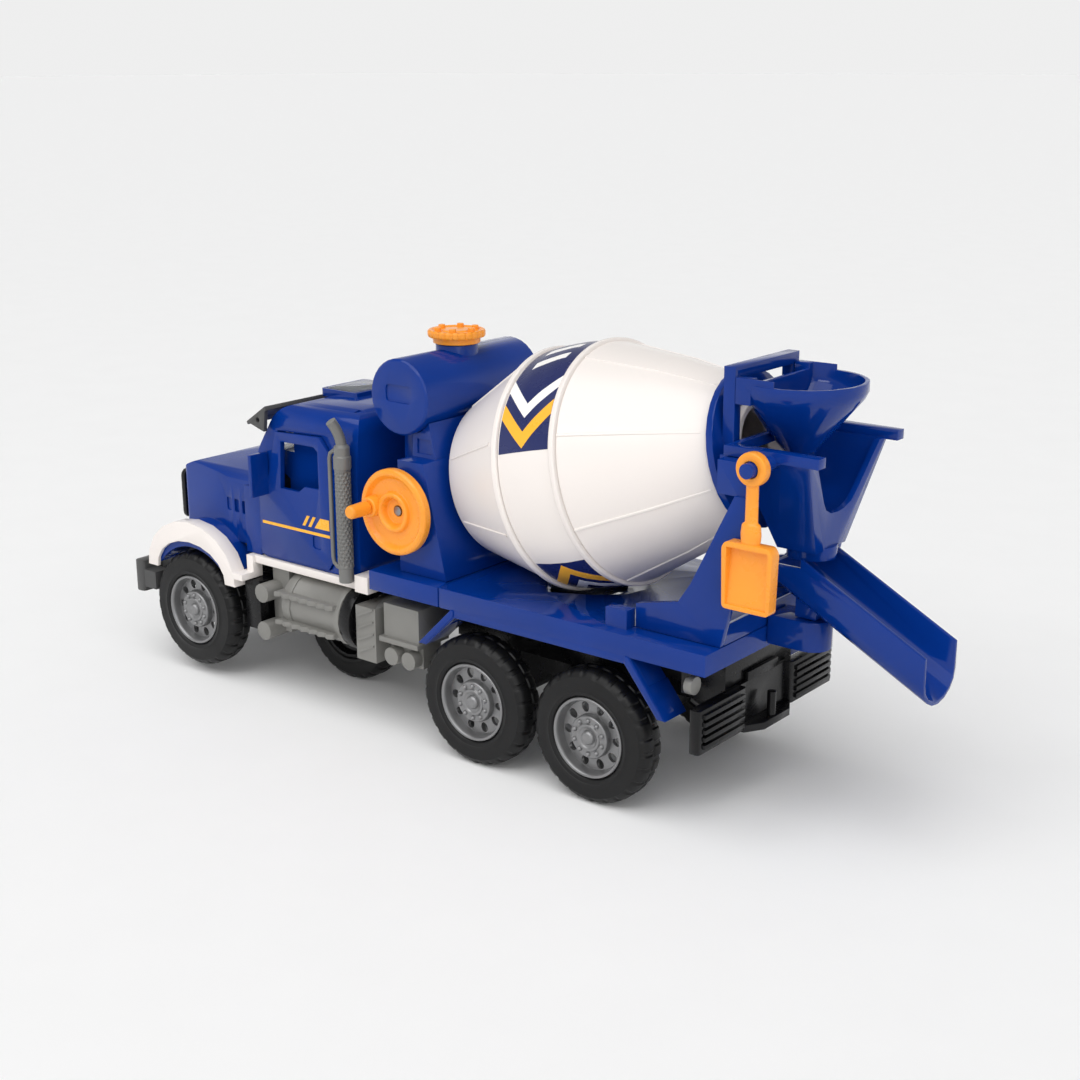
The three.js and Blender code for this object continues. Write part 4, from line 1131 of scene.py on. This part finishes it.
def build_shovel():
    """The shovel on its peg: an eye, a turned grip that is flattened, and a scooped pan."""
    eye_profile = fillet([(2.9, -1.9), (5.6, -1.9), (5.6, 1.9), (2.9, 1.9), (2.9, -1.9)], 0.9)
    eye = revolve(eye_profile, (SHOVEL_X, SHOVEL_Y, PEG_Z), (0, 1, 0), 56)
    grip_profile = [
        (0, 126),
        (2.2, 126),
        (2.3, 112.9),
        (3.3, 112.3),
        (3.7, 109),
        (3.3, 105.2),
        (2.4, 104.6),
        (0, 104.6),
    ]
    grip = revolve(fillet(grip_profile, 0.8), (0, 0, 0), (0, 0, 1), 40)
    flatten = Matrix.Translation((SHOVEL_X, SHOVEL_Y, 0)) @ Matrix.Diagonal((1, 0.62, 1, 1))
    half = [(8.8, 83.4), (9.4, 104), (8, 106)]
    outline = [(SHOVEL_X + x, z) for x, z in half] + [(SHOVEL_X - x, z) for x, z in reversed(half)]
    pan = prism(fillet(outline, 1.6, 5, closed=True), -41.4, -36.9)
    hollow = [(-44, 84.9), (-44, 104.2), (-38.1, 104.2), (-40.3, 84.9)]
    scoop = prism(hollow, SHOVEL_X - 7.6, SHOVEL_X + 7.6, "x")
    shape = cut_shape(pan, scoop)
    shape = cut_shape(shape, changed(grip, flatten), "UNION")
    shape = cut_shape(shape, eye, "UNION")
    add_piece("shovel_moulding", shape, "shovel", ORANGE, ["shovel"], edge=0.3)


# ---------------------------------------------------------------- CAD nodes that stay

PLAIN_EDGE = 0.35
LAMP_HOLDER_END_X = 39.05  # a tail lamp is black as far as here, and its lens is clear
EDGE_WIDTHS = {
    "white_trim": 0.5,
    "bed": 0.6,
    "receiving_hopper": 0.5,
    "rear_tower": 0.45,
    "funnel": 0.4,
    "chute": 0.4,
    "chute_base": 0.6,
    "drive_housing": 0.7,
    "water_tank": 0.5,
    "windscreen": 0.15,
    "roof_light": 0.3,
}


def finish_cad_nodes():
    """A finish for every CAD node, and softened edges for those that no piece replaces."""
    slots = {row["node"]: row["material_slot"] for row in frame["record"]["subparts"]}
    for name, node in NODES.items():
        node.data.materials.clear()
        node.data.materials.append(SLOT_MATERIALS[slots[name]])
        if node.hide_render:
            continue
        if "custom_normal" in node.data.attributes:
            node.data.attributes.remove(node.data.attributes["custom_normal"])
        soften(node, EDGE_WIDTHS.get(name, PLAIN_EDGE), weld=True)
    for name in ("visor", "front_bumper"):
        NODES[name].data.materials[0] = DARK_GREY
    holder_end = (ROW_FROM_LAYOUT @ Vector((LAMP_HOLDER_END_X, 0, 0))).x
    for name in ("tail_lamp_left", "tail_lamp_right"):
        lamp = NODES[name].data
        lamp.materials.append(BLACK)
        for face in lamp.polygons:
            face.material_index = 1 if face.center.x < holder_end else 0


# ---------------------------------------------------------------- camera, floor and light

CAMERA_AZIMUTH = math.radians(38.756)
CAMERA_HEIGHT = math.radians(16.28)
CAMERA_ROLL = math.radians(0.2)
CAMERA_DISTANCE = 0.6295
CAMERA_LENS = 54.59
LOOK_OFFSET = Vector((0.0131, 0.0056, -0.0021))  # from the middle of the truck's box


def build_camera():
    """The camera at the photo's angle."""
    target = (cad_low + cad_high) / 2 + LOOK_OFFSET
    back = Vector(
        (
            math.sin(CAMERA_AZIMUTH) * math.cos(CAMERA_HEIGHT),
            -math.cos(CAMERA_AZIMUTH) * math.cos(CAMERA_HEIGHT),
            math.sin(CAMERA_HEIGHT),
        )
    )
    camera = bpy.data.objects.new("camera", bpy.data.cameras.new("camera"))
    camera.data.lens = CAMERA_LENS
    camera.data.sensor_width = 36
    camera.data.clip_start = 0.01
    turned = back.to_track_quat("Z", "Y").to_matrix().to_4x4() @ Matrix.Rotation(-CAMERA_ROLL, 4, "Z")
    camera.matrix_world = Matrix.Translation(target + back * CAMERA_DISTANCE) @ turned
    bpy.context.scene.collection.objects.link(camera)
    bpy.context.scene.camera = camera


def aim(made, place, target):
    """Puts a new object in the scene at a place, facing a target."""
    away = Vector(place) - Vector(target)
    made.matrix_world = Matrix.Translation(place) @ away.to_track_quat("Z", "Y").to_matrix().to_4x4()
    bpy.context.scene.collection.objects.link(made)


def add_soft_sun(name, towards, strength, spread):
    """A light as wide as `spread` degrees in the sky, in the direction `towards` it."""
    light = bpy.data.lights.new(name, "SUN")
    light.energy = strength
    light.angle = math.radians(spread)
    aim(bpy.data.objects.new(name, light), Vector(towards).normalized() * 2, (0, 0, 0))


def add_softbox(name, place, size, power):
    """A rectangular light, aimed at the truck's middle."""
    light = bpy.data.lights.new(name, "AREA")
    light.shape = "RECTANGLE"
    light.size, light.size_y = size
    light.energy = power
    aim(bpy.data.objects.new(name, light), place, (cad_low + cad_high) / 2)


BACKDROP = 0.86  # the pale grey round the horizon; the floor is lit to the same tone
CEILING = 0.3  # the darker room overhead
FADE_FROM = 0.12  # sines of the elevations between which the one becomes the other
FADE_TO = 0.6
FLOOR_TONE = 0.91
FLOOR_REACH = 30.0  # metres


def build_world():
    """A pale backdrop all round the horizon that falls off to a darker room overhead."""
    world = bpy.data.worlds.new("studio")
    bpy.context.scene.world = world
    world.use_nodes = True
    tree = world.node_tree
    place = tree.nodes.new("ShaderNodeTexCoord")
    parts = tree.nodes.new("ShaderNodeSeparateXYZ")
    tone = new_node(
        tree, "ShaderNodeMapRange", From_Min=FADE_FROM, From_Max=FADE_TO, To_Min=BACKDROP, To_Max=CEILING
    )
    tone.interpolation_type = "SMOOTHSTEP"
    tree.links.new(place.outputs["Generated"], parts.inputs["Vector"])
    tree.links.new(parts.outputs["Z"], tone.inputs["Value"])
    tree.links.new(tone.outputs["Result"], tree.nodes["Background"].inputs["Color"])


def build_studio():
    """The pale floor, the backdrop and the lights."""
    floor_finish = make_material(
        "studio_floor",
        (FLOOR_TONE, FLOOR_TONE, FLOOR_TONE),
        gloss=(0.7, 0.8),
        mottle=0.006,
        grain=160,
        grain_depth=0.01,
        specular=0.1,
    )
    mesh = bpy.data.meshes.new("studio_floor")
    corners = rectangle(-FLOOR_REACH, FLOOR_REACH, -FLOOR_REACH, FLOOR_REACH)
    mesh.from_pydata([(x, y, 0) for x, y in corners], [], [(0, 1, 2, 3)])
    mesh.materials.append(floor_finish)
    floor = bpy.data.objects.new("studio_floor", mesh)
    bpy.context.scene.collection.objects.link(floor)
    build_world()
    add_soft_sun("key_light", (-0.1, -0.45, 1.0), 1.45, 60)
    add_soft_sun("fill_light", (0.7, -0.5, 0.7), 0.85, 60)
    add_softbox("glint_light", (-0.1, -0.9, 0.75), (0.5, 0.12), 1.0)


bpy.context.scene.view_settings.view_transform = "Standard"
build_camera()
build_studio()
build_wheels()
build_drum()
build_drum_print()
build_crank()
build_cap()
build_exhausts()
build_door_stripes()
build_cab()
build_flaps()
build_shovel()
finish_cad_nodes()
